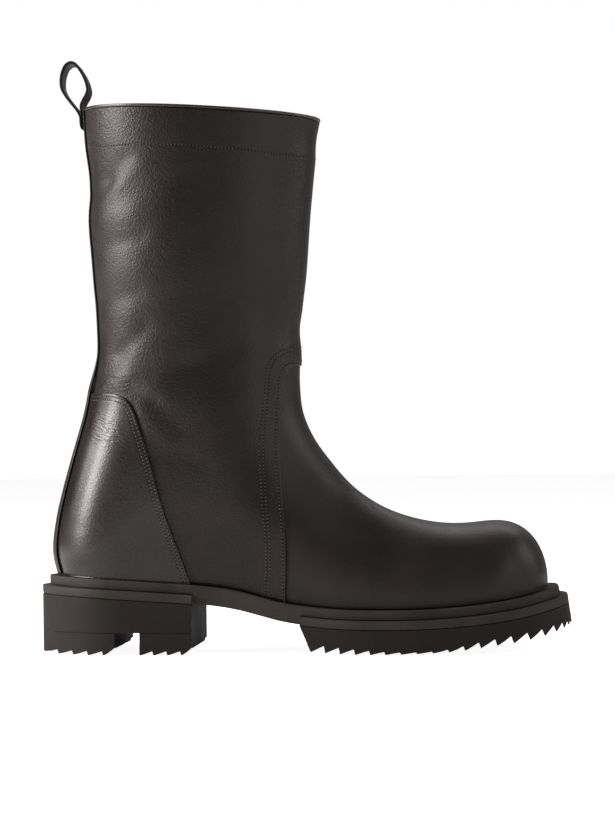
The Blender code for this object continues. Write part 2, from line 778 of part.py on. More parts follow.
def main():
    clear_scene()
    boot = make_collection("creeper_boot")
    cutters = make_collection("cutters")
    leather = make_material("leather", leather_colour, 0.42)
    midsole_rubber = make_material("midsole_rubber", midsole_colour, 0.62)
    outsole_rubber = make_material("outsole_rubber", outsole_colour, 0.70)
    insole_leather = make_material("insole_leather", insole_colour, 0.65)

    # Cutters that trim the upper at the sole and at the collar
    sole_x = np.linspace(-0.08, 1.08, 59) * foot_length
    sole_line = [(x, float(sole_top(x)) + fit_gap) for x in sole_x]
    below_sole = side_prism(
        "below_sole", sole_line + [(sole_x[-1], -0.05), (sole_x[0], -0.05)], -0.09, 0.09, cutters)
    back_x = back_edge[-1][0]
    front_x = front_edge[-1][0]
    tilt = collar_drop / (front_x - back_x)
    reach = 0.06
    above_collar = side_prism("above_collar", [
        (back_x - reach, collar_height + tilt * reach),
        (front_x + reach, collar_height - collar_drop - tilt * reach),
        (front_x + reach, collar_height + reach),
        (back_x - reach, collar_height + reach)], -0.09, 0.09, cutters)

    # Panels in side view
    seam = side_points(vamp_seam_rows)
    instep_x = 1.2 * foot_length
    shaft_panel = side_prism("shaft_panel", [
        (instep_x, seam[0][1] + 0.0006), *seam, (seam[-1][0], -0.02),
        (-0.06, -0.02), (-0.06, collar_height + reach), (instep_x, collar_height + reach)],
        -0.09, 0.09, cutters)
    edge = side_points(counter_rows)
    counter_outline = [(-0.06, edge[0][1]), *edge, (edge[-1][0], -0.02), (-0.06, -0.02)]
    strip_middle = float(middle_line(0))
    strip_half = strip_width / 2
    outer_panel = side_prism(
        "outer_panel", counter_outline, -0.09, strip_middle - strip_half - fit_gap, cutters)
    inner_panel = side_prism(
        "inner_panel", counter_outline, strip_middle + strip_half + fit_gap, 0.09, cutters)
    strip_panel = side_prism("strip_panel", [
        (-0.06, -0.02), (0.22 * foot_length, -0.02), (0.22 * foot_length, collar_height + reach),
        (-0.06, collar_height + reach)], strip_middle - strip_half, strip_middle + strip_half, cutters)

    # Upper: vamp level, with the shaft raised by the seam's step, hollowed by the inner form
    raised_shaft = last_form(seam_step, "raised_shaft", cutters)
    cut(raised_shaft, "INTERSECT", shaft_panel)
    inner_form = last_form(-vamp_wall, "inner_form", cutters)
    upper = last_form(0, "upper", boot, leather)
    cut(upper, "UNION", raised_shaft)
    cut(upper, "DIFFERENCE", inner_form)
    cut(upper, "DIFFERENCE", below_sole)
    cut(upper, "DIFFERENCE", above_collar)

    # Counter halves and back strip lie on the shaft
    shaft_face = last_form(seam_step + fit_gap, "shaft_face", cutters)
    parts = [upper]
    for name, panel, proud in (
            ("heel_counter_outer", outer_panel, 0),
            ("heel_counter_inner", inner_panel, 0),
            ("back_strip", strip_panel, strip_proud)):
        piece = last_form(seam_step + fit_gap + overlay + proud, name, boot, leather)
        cut(piece, "INTERSECT", panel)
        cut(piece, "DIFFERENCE", shaft_face)
        cut(piece, "DIFFERENCE", below_sole)
        if name == "back_strip":
            cut(piece, "DIFFERENCE", above_collar)
        parts.append(piece)

    # Insole inside the upper
    shares = np.r_[0, 0.01, 0.03, np.linspace(0.06, 0.94, 26), 0.97, 0.99, 1]
    inset = np.full(len(shares), -welt_ledge - vamp_wall - insole_clearance)
    both = (shares, shares)
    parts.append(sole_solid("insole", [
        level(inset - fit_gap, both, lambda x: sole_top(x) + fit_gap + insole_thickness),
        level(inset, both, lambda x: sole_top(x) + fit_gap)], boot, insole_leather))

    # Sole
    parts.append(build_midsole(boot, midsole_rubber))
    parts.append(build_treaded(
        "outsole", (forefoot_rear, forefoot_rear), None, tread_height, boot, outsole_rubber,
        forefoot_slant / (ball_height - midsole_thickness),
        lambda x: np.clip(tread_height(x) - 0.0011, 0, 1)))
    heel = build_treaded(
        "heel", None, (heel_breast - heel_skew, heel_breast + heel_skew), lambda x: 0 * x,
        boot, outsole_rubber, 0, lambda x: 0 * x)
    skew = heel_skew / half_heel
    notch = side_prism("notch", [
        (notch_rear - lug_chamfer, -0.001), (notch_rear, chamfer_rise), (notch_rear, notch_height),
        (notch_front, notch_height), (notch_front, -0.001)], -0.07, 0.07, cutters)
    breast = side_prism("breast_chamfer", [
        (heel_breast - lug_chamfer, -0.001), (heel_breast + 0.004, chamfer_rise + 0.003),
        (heel_breast + 0.004, -0.001)], -0.07, 0.07, cutters)
    for cutter in (notch, breast):
        for vert in cutter.data.vertices:
            vert.co.x += skew * vert.co.y
        cut(heel, "DIFFERENCE", cutter)
    parts.append(heel)

    parts.append(build_pull_loop(boot, leather))
    place(parts + list(cutters.objects))


main()
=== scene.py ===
import math

import bmesh
import bpy
import numpy as np
from mathutils import Matrix, Vector
from mathutils.bvhtree import BVHTree


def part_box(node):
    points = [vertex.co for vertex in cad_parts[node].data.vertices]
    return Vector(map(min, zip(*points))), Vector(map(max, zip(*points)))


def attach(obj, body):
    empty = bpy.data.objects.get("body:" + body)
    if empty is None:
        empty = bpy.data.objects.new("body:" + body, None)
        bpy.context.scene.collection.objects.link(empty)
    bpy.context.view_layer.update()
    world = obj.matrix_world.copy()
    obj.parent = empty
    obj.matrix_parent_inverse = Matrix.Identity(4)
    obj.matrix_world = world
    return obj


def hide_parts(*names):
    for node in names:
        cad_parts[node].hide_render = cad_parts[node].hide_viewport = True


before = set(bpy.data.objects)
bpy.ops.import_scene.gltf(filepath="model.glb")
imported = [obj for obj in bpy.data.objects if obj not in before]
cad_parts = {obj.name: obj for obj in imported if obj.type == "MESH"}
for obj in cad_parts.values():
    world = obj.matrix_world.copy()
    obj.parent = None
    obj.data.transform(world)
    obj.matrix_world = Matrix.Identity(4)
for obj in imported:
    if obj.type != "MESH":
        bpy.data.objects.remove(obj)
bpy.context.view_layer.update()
mm = 0.001
print("frame loaded")


# ---- camera, light and floor

cameraSet = {
    "distance": 1.750,
    "height": 0.143,
    "side": 0.0004,
    "depth": -0.0006,
    "yaw": 2.0,
    "roll": 0.6,
    "lens": 128.05,
    "sensor": 36.0,
}


def placeCamera():
    yaw = math.radians(cameraSet["yaw"])
    camera = bpy.data.cameras.new("camera")
    camera.lens = cameraSet["lens"]
    camera.sensor_width = cameraSet["sensor"]
    camera.clip_end = 50
    holder = bpy.data.objects.new("camera", camera)
    bpy.context.scene.collection.objects.link(holder)
    spot = Vector((cameraSet["distance"] * math.sin(yaw) + cameraSet["side"],
                   -cameraSet["distance"] * math.cos(yaw) + cameraSet["depth"], cameraSet["height"]))
    holder.matrix_world = (Matrix.Translation(spot) @ Matrix.Rotation(yaw, 4, "Z")
                           @ Matrix.Rotation(math.pi / 2, 4, "X")
                           @ Matrix.Rotation(-math.radians(cameraSet["roll"]), 4, "Z"))
    bpy.context.scene.camera = holder


placeCamera()

lightSet = {
    # name: place, aim, size across, size high, watts
    "leftBox": ((-1.30, -0.34, 0.70), (0.0, 0.0, 0.18), 0.34, 1.1, 25.0),
    "leftBackBox": ((-1.34, 0.05, 0.85), (0.0, 0.0, 0.18), 0.45, 1.1, 12.0),
    "topBox": ((0.05, 1.00, 1.20), (0.05, 0.0, 0.1), 1.5, 0.6, 6.5),
    "backBox": ((0.0, 2.3, 0.9), (0.0, 0.0, 0.2), 3.2, 1.8, 5.0),
    "highBox": ((0.90, -0.90, 1.50), (0.10, 0.0, 0.05), 0.8, 0.8, 1.8),
    "sideBox": ((1.25, -0.95, 0.50), (0.05, 0.0, 0.12), 0.8, 0.9, 4.0),
    "rightBox": ((1.35, 0.25, 0.75), (0.05, 0.0, 0.12), 0.6, 1.0, 5.0),
    "frontBox": ((0.40, -2.00, 0.60), (0.05, 0.0, 0.10), 1.4, 0.9, 0.8),
}


def addLight(name, place, aim, wide, high, watts):
    light = bpy.data.lights.new(name, "AREA")
    light.shape = "RECTANGLE"
    light.size = wide
    light.size_y = high
    light.energy = watts
    holder = bpy.data.objects.new(name, light)
    bpy.context.scene.collection.objects.link(holder)
    holder.location = place
    holder.rotation_mode = "QUATERNION"
    holder.rotation_quaternion = (Vector(aim) - Vector(place)).to_track_quat("-Z", "Y")
    holder.visible_camera = False


for name, values in lightSet.items():
    addLight(name, *values)

studioSet = {
    "surround": 0.025,     # light that comes from all round
    "backdrop": 1.0,      # white that stands behind the boot
    "floorSize": 9.0,
    "floorGlow": 0.93,    # what the camera sees of the lit board
    "floorBounce": 0.05,  # what reaches the boot from it
}


def placeWorld():
    world = bpy.data.worlds.new("paleStudio")
    bpy.context.scene.world = world
    world.use_nodes = True
    tree = world.node_tree
    soft = tree.nodes["Background"]
    soft.inputs["Strength"].default_value = studioSet["surround"]
    soft.inputs["Color"].default_value = (1, 1, 1, 1)
    white = tree.nodes.new("ShaderNodeBackground")
    white.inputs["Strength"].default_value = studioSet["backdrop"]
    white.inputs["Color"].default_value = (1, 1, 1, 1)
    seen = tree.nodes.new("ShaderNodeLightPath")
    mix = tree.nodes.new("ShaderNodeMixShader")
    tree.links.new(seen.outputs["Is Camera Ray"], mix.inputs[0])
    tree.links.new(soft.outputs[0], mix.inputs[1])
    tree.links.new(white.outputs[0], mix.inputs[2])
    tree.links.new(mix.outputs[0], tree.nodes["World Output"].inputs["Surface"])


placeWorld()
bpy.context.scene.view_settings.view_transform = "Standard"
print("camera and light placed")


# ---- nodes

def linear(code):
    # sRGB hex to the linear colour that the shader takes
    parts = [int(code[k:k + 2], 16) / 255 for k in (1, 3, 5)]
    return tuple(c / 12.92 if c <= 0.04045 else ((c + 0.055) / 1.055) ** 2.4 for c in parts) + (1,)


def addNode(tree, kind, settings=None, links=None):
    node = tree.nodes.new(kind)
    for key, value in (settings or {}).items():
        if isinstance(key, str) and hasattr(node, key):
            setattr(node, key, value)
        else:
            node.inputs[key].default_value = value
    for key, source in (links or {}).items():
        tree.links.new(source, node.inputs[key])
    return node


def newMaterial(name, shaderSettings):
    material = bpy.data.materials.new(name)
    material.use_nodes = True
    tree = material.node_tree
    shader = tree.nodes["Principled BSDF"]
    for key, value in shaderSettings.items():
        shader.inputs[key].default_value = value
    return material, tree, shader


def mixColour(tree, factor, one, other):
    node = addNode(tree, "ShaderNodeMix", {"data_type": "RGBA"})
    for place, value in ((6, one), (7, other)):
        if isinstance(value, tuple):
            node.inputs[place].default_value = value
        else:
            tree.links.new(value, node.inputs[place])
    tree.links.new(factor, node.inputs[0])
    return node.outputs[2]


def fitRange(tree, source, low, high, start, end):
    settings = {1: low, 2: high, 3: start, 4: end}
    return addNode(tree, "ShaderNodeMapRange", settings, {0: source}).outputs[0]


def softRange(tree, source, low, high, start, end):
    settings = {"interpolation_type": "SMOOTHSTEP", 1: low, 2: high, 3: start, 4: end}
    return addNode(tree, "ShaderNodeMapRange", settings, {0: source}).outputs[0]


def sums(tree, operation, one, other):
    node = addNode(tree, "ShaderNodeMath", {"operation": operation})
    for place, value in ((0, one), (1, other)):
        if isinstance(value, (int, float)):
            node.inputs[place].default_value = value
        else:
            tree.links.new(value, node.inputs[place])
    return node.outputs[0]


def objectPlace(tree):
    return addNode(tree, "ShaderNodeTexCoord").outputs["Object"]


def noiseOf(tree, place, width, detail=2.0):
    # soft noise whose patches are about that many mm wide
    settings = {"Scale": 1 / (width * mm), "Detail": detail}
    return addNode(tree, "ShaderNodeTexNoise", settings, {"Vector": place}).outputs[0]


def setBump(tree, shader, height, strength, depth):
    # relief whose full height is that many mm
    settings = {"Strength": strength, "Distance": depth * mm}
    bump = addNode(tree, "ShaderNodeBump", settings, {"Height": height})
    tree.links.new(bump.outputs[0], shader.inputs["Normal"])


def setTone(tree, shader, factor, dark, pale):
    tone = mixColour(tree, factor, linear(dark), linear(pale))
    tree.links.new(tone, shader.inputs["Base Color"])


def setRough(tree, shader, source, low, high):
    tree.links.new(fitRange(tree, source, 0.3, 0.7, low, high), shader.inputs["Roughness"])


def placeFloor():
    # pale painted board, evenly lit
    material, tree, shader = newMaterial("paleFloor", {
        "Base Color": (0.86, 0.86, 0.86, 1), "Roughness": 0.85, "Emission Color": (1, 1, 1, 1)})
    seen = addNode(tree, "ShaderNodeLightPath").outputs["Is Camera Ray"]
    glow = fitRange(tree, seen, 0, 1, studioSet["floorBounce"], studioSet["floorGlow"])
    tree.links.new(glow, shader.inputs["Emission Strength"])
    bm = bmesh.new()
    bmesh.ops.create_grid(bm, x_segments=1, y_segments=1, size=studioSet["floorSize"] / 2)
    mesh = bpy.data.meshes.new("floor")
    bm.to_mesh(mesh)
    bm.free()
    mesh.materials.append(material)
    floor = bpy.data.objects.new("floor", mesh)
    bpy.context.scene.collection.objects.link(floor)


placeFloor()


# ---- leathers: chrome-tanned calf, drum dyed dark brown-black, finished with wax

leatherSet = {
    "dye": "#201a18",
    "dyeDeep": "#181211",
    "dyeWarm": "#3a2a25",
    "grain": 1.3,         # width of a grain cell, mm; drawn coarser than the hide's 0.8
    "streak": 0.65,       # spacing of the short slanting grain wrinkles, mm
    "streakTurn": 48,     # their lean from upright, degrees
    "streakLong": 3.0,    # length of a wrinkle as a share of its width
    "wave": 6.5,          # soft undulations of the hide, mm
    "cloud": 34.0,        # width of a patch of deeper dye, mm
    # painted shade: a colour that darkens the leather along stitched lines, standing for the shade in their grooves
    "seamPaintedShade": "#120f0e",
    "seamShade": 0.5,     # painted shade along a stitched line: how far its groove is darkened
    "seamGroove": 0.12,   # its depth, mm
    "edgeShade": 0.25,    # warming along a cut edge
}


def leatherMaterial(name, grainDepth, streakDepth, waveDepth, roughLow, roughHigh, coat, wrinkles=()):
    material, tree, shader = newMaterial(name, {
        "IOR": 1.5, "Coat Weight": coat, "Coat Roughness": 0.26, "Coat IOR": 1.45,
        "Specular IOR Level": 0.42, "Specular Tint": linear("#fcf1ed")})
    place = objectPlace(tree)
    cloud = noiseOf(tree, place, leatherSet["cloud"], 3.0)
    grain = addNode(tree, "ShaderNodeTexVoronoi",
                    {"feature": "SMOOTH_F1", "Scale": 1 / (leatherSet["grain"] * mm), "Smoothness": 0.35,
                     "Randomness": 0.9}, {"Vector": place})
    # flat-topped pebbles with soft channels between them
    pebble = softRange(tree, grain.outputs[0], 0.16, 0.72, 0, 1)
    # short slanting wrinkles that break the shine into streaks
    leant = addNode(tree, "ShaderNodeMapping", {
        "vector_type": "TEXTURE", "Rotation": (0, math.radians(leatherSet["streakTurn"]), 0),
        "Scale": (1, 1, leatherSet["streakLong"])}, {"Vector": place}).outputs[0]
    streak = noiseOf(tree, leant, leatherSet["streak"])
    wave = noiseOf(tree, place, leatherSet["wave"])

    tone = mixColour(tree, fitRange(tree, cloud, 0.35, 0.68, 0, 1),
                     linear(leatherSet["dyeDeep"]), linear(leatherSet["dye"]))
    line = addNode(tree, "ShaderNodeAttribute", {"attribute_name": "stitchLine"}).outputs["Fac"]
    nearLine = fitRange(tree, line, 0.0, 0.9, 1, 0)
    edge = addNode(tree, "ShaderNodeAttribute", {"attribute_name": "edgeLine"}).outputs["Fac"]
    nearEdge = fitRange(tree, edge, 0.25, 1.3, 1, 0)
    # painted shade along stitched lines, laid on top of the real groove in the bump below
    seamShade = sums(tree, "MULTIPLY", nearLine, leatherSet["seamShade"])
    edgeShade = sums(tree, "MULTIPLY", nearEdge, leatherSet["edgeShade"])
    tone = mixColour(tree, seamShade, tone, linear(leatherSet["seamPaintedShade"]))
    tone = mixColour(tree, edgeShade, tone, linear(leatherSet["dyeWarm"]))
    tree.links.new(tone, shader.inputs["Base Color"])

    rough = fitRange(tree, cloud, 0.3, 0.7, roughLow, roughHigh)
    rough = sums(tree, "ADD", rough, sums(tree, "MULTIPLY", pebble, 0.06))
    tree.links.new(rough, shader.inputs["Roughness"])

    height = sums(tree, "MULTIPLY", pebble, -grainDepth)
    for source, depth in ((streak, streakDepth), (wave, waveDepth), (nearLine, -leatherSet["seamGroove"])):
        height = sums(tree, "ADD", height, sums(tree, "MULTIPLY", source, depth))
    for patch in wrinkles:
        height = sums(tree, "ADD", height, wrinklePatch(tree, place, patch))
    setBump(tree, shader, height, 1.0, 1.0)
    return material


def wrinklePatch(tree, place, patch):
    # fine compression wrinkles inside a soft oval: pitch and depth in mm, centre in the boot's sizes
    centre, wide, high, turn, pitch, depth = patch
    turned = addNode(tree, "ShaderNodeMapping", {
        "vector_type": "TEXTURE", "Location": (centre[0], 0, centre[1]),
        "Rotation": (0, math.radians(turn), 0)}, {"Vector": place}).outputs[0]
    oval = addNode(tree, "ShaderNodeVectorMath",
                   {"operation": "MULTIPLY", 1: (1 / wide, 0.0, 1 / high)}, {0: turned})
    reach = addNode(tree, "ShaderNodeVectorMath", {"operation": "LENGTH"}, {0: oval.outputs[0]})
    mask = softRange(tree, reach.outputs["Value"], 0.35, 1.0, 1, 0)
    stretched = addNode(tree, "ShaderNodeVectorMath",
                        {"operation": "MULTIPLY", 1: (0.22, 0.22, 1.0)}, {0: turned})
    noise = addNode(tree, "ShaderNodeTexNoise",
                    {"Scale": 1 / (pitch * mm), "Detail": 1.5, "Distortion": 0.4},
                    {"Vector": stretched.outputs[0]})
    fine = fitRange(tree, noise.outputs[0], 0.35, 0.68, 0, depth)
    return sums(tree, "MULTIPLY", fine, mask)


# ---- the last: side view lines, sections and widths of the boot

last = {
    "footLength": 0.2900,
    "ballWidth": 0.0980,
    "heelWidth": 0.0660,
    "ankleWidth": 0.0910,
    "shaftWidth": 0.1130,
    "upperHeight": 0.2804,
    "collarDrop": 0.0085,
    "seatHeight": 0.0456,
    "ballHeight": 0.0257,
    "toeHeight": 0.0374,
    "toeSpring": 0.0170,
    "roundDepth": 0.0600,
    "weltLedge": 0.0063,
    "stepLedge": 0.0045,
    "middleShift": -0.00062,
}
footLength = last["footLength"]
upperHeight = last["upperHeight"]
halfBall = last["ballWidth"] / 2
halfHeel = last["heelWidth"] / 2
halfAnkle = last["ankleWidth"] / 2
halfShaft = last["shaftWidth"] / 2
collarHeight = last["seatHeight"] + upperHeight
# the last's own x starts at the back of the heel; this carries it to the frame
modelShift = np.array((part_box("midsole")[0].x + last["weltLedge"] + last["stepLedge"],
                       last["middleShift"], 0))

# share of the foot length, share of the drop from seat to ball, share of the rise to the toe
soleTopRows = (
    (-0.10, 1.030, 0.000), (0.000, 1.000, 0.000), (0.066, 0.955, 0.000), (0.188, 0.844, 0.000),
    (0.290, 0.735, 0.000), (0.330, 0.665, 0.000), (0.371, 0.553, 0.000), (0.412, 0.395, 0.000),
    (0.453, 0.240, 0.000), (0.493, 0.141, 0.000), (0.554, 0.050, 0.000), (0.659, 0.000, 0.000),
    (0.735, 0.000, 0.025), (0.815, 0.000, 0.135), (0.896, 0.000, 0.365), (0.937, 0.000, 0.540),
    (0.979, 0.000, 0.770), (1.015, 0.000, 0.965), (1.080, 0.000, 1.200),
)
# side view lines: share of the foot length, share of the upper height over the sole
frontRows = (
    (1.0000, -0.0500), (1.0000, 0.0033), (0.9990, 0.0463), (0.9897, 0.0803), (0.9641, 0.1281),
    (0.9272, 0.1587), (0.8934, 0.1679), (0.8417, 0.1669), (0.7831, 0.1723), (0.7210, 0.1874),
    (0.6590, 0.2126), (0.6038, 0.2506), (0.5538, 0.3060), (0.5176, 0.3574), (0.4983, 0.4053),
    (0.4924, 0.4617), (0.4928, 0.5331), (0.4886, 0.5788), (0.4997, 0.7086), (0.5114, 0.8596),
    (0.5272, 0.9897), (0.5359, 1.0309), (0.5452, 1.0736), (0.5530, 1.1100),
)
backRows = (
    (0.0030, -0.0500), (0.0000, 0.0014), (-0.0097, 0.0417), (-0.0114, 0.0799), (-0.0090, 0.1227),
    (0.0028, 0.1762), (0.0214, 0.2454), (0.0459, 0.3310), (0.0676, 0.4165), (0.0803, 0.4793),
    (0.0810, 0.5235), (0.0748, 0.6291), (0.0662, 0.7611), (0.0690, 0.8466), (0.0603, 0.9215),
    (0.0562, 1.0000), (0.0541, 1.0428), (0.0530, 1.0900),
)
# section: lower end, upper end on the front line, four half widths, front and back rounding
sectionRows = np.array((
    (0.000, 0.000, 0.98 * halfBall, 1.00 * halfBall, 1.00 * halfBall, 0.98 * halfBall, 0.7333, 2.50, 0.6333),
    (0.027, 0.082, 0.97 * halfBall, 1.00 * halfBall, 1.01 * halfBall, 1.00 * halfBall, 0.7333, 2.50, 0.6333),
    (0.105, 0.152, 0.98 * halfBall, 1.02 * halfBall, 1.03 * halfBall, 1.02 * halfBall, 0.7500, 2.35, 0.6333),
    (0.165, 0.195, 0.99 * halfBall, 1.04 * halfBall, 1.05 * halfBall, 1.04 * halfBall, 0.7833, 2.25, 0.6333),
    (0.286, 0.286, 1.00 * halfBall, 1.06 * halfBall, 1.07 * halfBall, 1.02 * halfBall, 0.8667, 2.10, 0.6333),
    (0.389, 0.337, 0.94 * halfBall, 1.00 * halfBall, 1.02 * halfBall, 0.94 * halfBall, 0.9333, 2.05, 0.6333),
    (0.493, 0.392, 0.82 * halfBall, 0.89 * halfBall, 0.92 * halfBall, 0.86 * halfBall, 1.0000, 2.05, 0.6333),
    (0.596, 0.452, 0.71 * halfBall, 0.80 * halfBall, 0.87 * halfBall, 0.85 * halfBall, 1.0333, 2.05, 0.6333),
    (0.734, 0.505, 1.00 * halfHeel, 1.12 * halfHeel, 0.92 * halfAnkle, 0.94 * halfAnkle, 1.0333, 2.05, 0.6333),
    (0.872, 0.542, 1.00 * halfHeel, 1.09 * halfHeel, 0.90 * halfAnkle, 0.97 * halfAnkle, 1.0333, 2.05, 0.6500),
    (1.000, 0.568, 1.00 * halfHeel, 1.09 * halfHeel, 0.90 * halfAnkle, 0.99 * halfAnkle, 1.0333, 2.05, 0.6833),
    (1.123, 0.608, 1.08 * halfHeel, 1.12 * halfHeel, 0.92 * halfAnkle, 1.00 * halfAnkle, 1.0500, 2.05, 0.7167),
    (1.265, 0.649, 1.15 * halfHeel, 1.19 * halfHeel, 0.95 * halfAnkle, 1.00 * halfAnkle, 1.0667, 2.05, 0.7667),
    (1.426, 0.698, 0.94 * halfAnkle, 0.96 * halfAnkle, 1.00 * halfAnkle, 1.01 * halfAnkle, 1.1000, 2.05, 0.8667),
    (1.515, 0.727, 1.00 * halfAnkle, 1.01 * halfAnkle, 1.03 * halfAnkle, 1.04 * halfAnkle, 1.1333, 2.05, 0.9000),
    (1.675, 0.796, 0.90 * halfShaft, 0.91 * halfShaft, 0.92 * halfShaft, 0.92 * halfShaft, 1.2167, 2.05, 0.9667),
    (1.836, 0.902, 0.96 * halfShaft, 0.96 * halfShaft, 0.96 * halfShaft, 0.96 * halfShaft, 1.3167, 2.05, 1.0167),
    (2.000, 1.000, 1.00 * halfShaft, 1.00 * halfShaft, 1.00 * halfShaft, 1.00 * halfShaft, 1.3667, 2.05, 1.0500),
    (2.045, 1.028, 1.01 * halfShaft, 1.01 * halfShaft, 1.01 * halfShaft, 1.01 * halfShaft, 1.3833, 2.05, 1.0667),
))
# middle line in plan, and the inner side's width as a share of the outer side's
axisRows = (
    (-0.05, 0.032), (0.00, 0.028), (0.13, 0.012), (0.30, -0.016), (0.50, -0.022),
    (0.70, -0.004), (0.88, 0.026), (1.00, 0.046), (1.05, 0.055),
)
innerSideRows = ((-0.05, 1.00), (0.15, 0.99), (0.35, 0.93), (0.55, 0.92), (0.75, 0.97), (0.90, 1.01), (1.05, 1.02))
# edge of the shaft over the vamp, edge of the heel counter, second seam row, facing row
vampSeamRows = (
    (0.4810, 0.5010), (0.4684, 0.4913), (0.4611, 0.4719), (0.4581, 0.4393), (0.4543, 0.3905),
    (0.4513, 0.3299), (0.4547, 0.2708), (0.4573, 0.2315), (0.4629, 0.1724), (0.4661, 0.1131),
    (0.4660, 0.0732), (0.4640, 0.0086),
)
counterRows = (
    (0.0653, 0.3894), (0.1001, 0.3916), (0.1259, 0.3895), (0.1438, 0.3825), (0.1577, 0.3645),
    (0.1710, 0.3269), (0.1875, 0.2720), (0.2037, 0.2106), (0.2198, 0.1489), (0.2360, 0.1013),
    (0.2521, 0.0571), (0.2698, 0.0041),
)
secondRows = (
    (0.4968, 0.5405), (0.4811, 0.5355), (0.4594, 0.5240), (0.4446, 0.5083), (0.4342, 0.4875),
    (0.4311, 0.4567), (0.4272, 0.4156), (0.4218, 0.3664), (0.4167, 0.3010), (0.4200, 0.2499),
    (0.4232, 0.1909), (0.4274, 0.1442), (0.4290, 0.0846), (0.4253, 0.0070),
)
facingRows = (
    (0.0200, 0.9100), (0.0591, 0.9132), (0.1325, 0.9124), (0.1991, 0.9156), (0.2952, 0.9177),
    (0.3737, 0.9247), (0.5110, 0.9473), (0.5400, 0.9530),
)


def smoothValues(xs, ys, at):
    xs = np.asarray(xs, float)
    ys = np.asarray(ys, float)
    slopes = np.gradient(ys, xs)
    at = np.clip(at, xs[0], xs[-1])
    i = np.clip(np.searchsorted(xs, at, side="right") - 1, 0, len(xs) - 2)
    step = xs[i + 1] - xs[i]
    t = (at - xs[i]) / step
    start = (1 + 2 * t) * (1 - t) ** 2 * ys[i]
    end = t ** 2 * (3 - 2 * t) * ys[i + 1]
    return start + end + step * t * (1 - t) * ((1 - t) * slopes[i] - t * slopes[i + 1])


def tableCurve(rows, number, at):
    table = np.asarray(rows, float)
    return smoothValues(table[:, 0], table[:, number], at)


def lineLength(line):
    return np.r_[0, np.cumsum(np.linalg.norm(np.diff(line, axis=0), axis=1))]


def smoothLine(points, count):
    points = np.asarray(points, float)
    chord = lineLength(points)
    at = np.linspace(0, chord[-1], count)
    return np.stack([smoothValues(chord, points[:, k], at) for k in range(points.shape[1])], 1)


def soleTop(x):
    along = np.asarray(x, float) / footLength
    drop = tableCurve(soleTopRows, 1, along) * (last["seatHeight"] - last["ballHeight"])
    return last["ballHeight"] + drop + tableCurve(soleTopRows, 2, along) * (last["toeHeight"] - last["ballHeight"])


def sideLine(rows, count):
    table = np.asarray(rows, float)
    x = table[:, 0] * footLength
    return smoothLine(np.c_[x, soleTop(x) + table[:, 1] * upperHeight], count)


frontLine = sideLine(frontRows, 420)
backLine = sideLine(backRows, 300)
vampSeam = sideLine(vampSeamRows, 90)
counterEdge = sideLine(counterRows, 120)
secondSeam = sideLine(secondRows, 90)
facingLine = sideLine(facingRows, 60)


def lineFromFeather(line, startShare, endShare):
    share = (line[:, 1] - soleTop(line[:, 0])) / upperHeight
    first = int(np.argmax(share > startShare))
    final = int(np.argmax(share > endShare)) or len(line) - 1
    return line[first:final + 1]


frontEdge = lineFromFeather(frontLine, 0.0033, 1.0309)
backEdge = lineFromFeather(backLine, 0.0014, 1.0000)


def alongLine(line, share):
    length = lineLength(line)
    at = np.asarray(share, float) * length[-1]
    direction = (line[-1] - line[-6]) / np.linalg.norm(line[-1] - line[-6])
    beyond = np.clip(at - length[-1], 0, None)[..., None] * direction
    return np.stack([np.interp(at, length, line[:, k]) for k in (0, 1)], -1) + beyond


def sectionEnds(station):
    footX = footLength * (1 - np.minimum(station, 1))
    low = np.where((station <= 1)[:, None], np.c_[footX, soleTop(footX)],
                   alongLine(backEdge, np.clip(station - 1, 0, None)))
    high = alongLine(frontEdge, tableCurve(sectionRows, 1, station))
    return low, np.where((station > 0)[:, None], high, low)


def sectionPlace(station, share):
    closed = np.clip((station - 0.70) / 0.30, 0, 1)
    return (1 - closed) * (1 - (1 - share) ** 1.8) + closed * (1 - np.cos(math.pi * share)) / 2


def nearLine(line, points):
    # distance from side view points to a line, positive on the left of its run
    start = line[:-1]
    run = line[1:] - start
    found = np.empty(len(points))
    for first in range(0, len(points), 3000):
        block = points[first:first + 3000, None]
        along = np.clip(((block - start) * run).sum(2) / (run ** 2).sum(1), 0, 1)
        offset = block - start - run * along[..., None]
        distance = np.hypot(offset[..., 0], offset[..., 1])
        pick = distance.argmin(1)
        rows = np.arange(len(pick))
        near = offset[rows, pick]
        side = run[pick, 0] * near[:, 1] - run[pick, 1] * near[:, 0]
        found[first:first + 3000] = distance[rows, pick] * np.where(side < 0, -1, 1)
    return found


def rounding(distance, depth, power):
    inside = 1 - np.clip(distance / depth, 0, 1)
    return (1 - inside ** power) ** (1 / power)


def sidePoint(station, share):
    low, high = sectionEnds(station)
    return low + sectionPlace(station, share)[:, None] * (high - low)


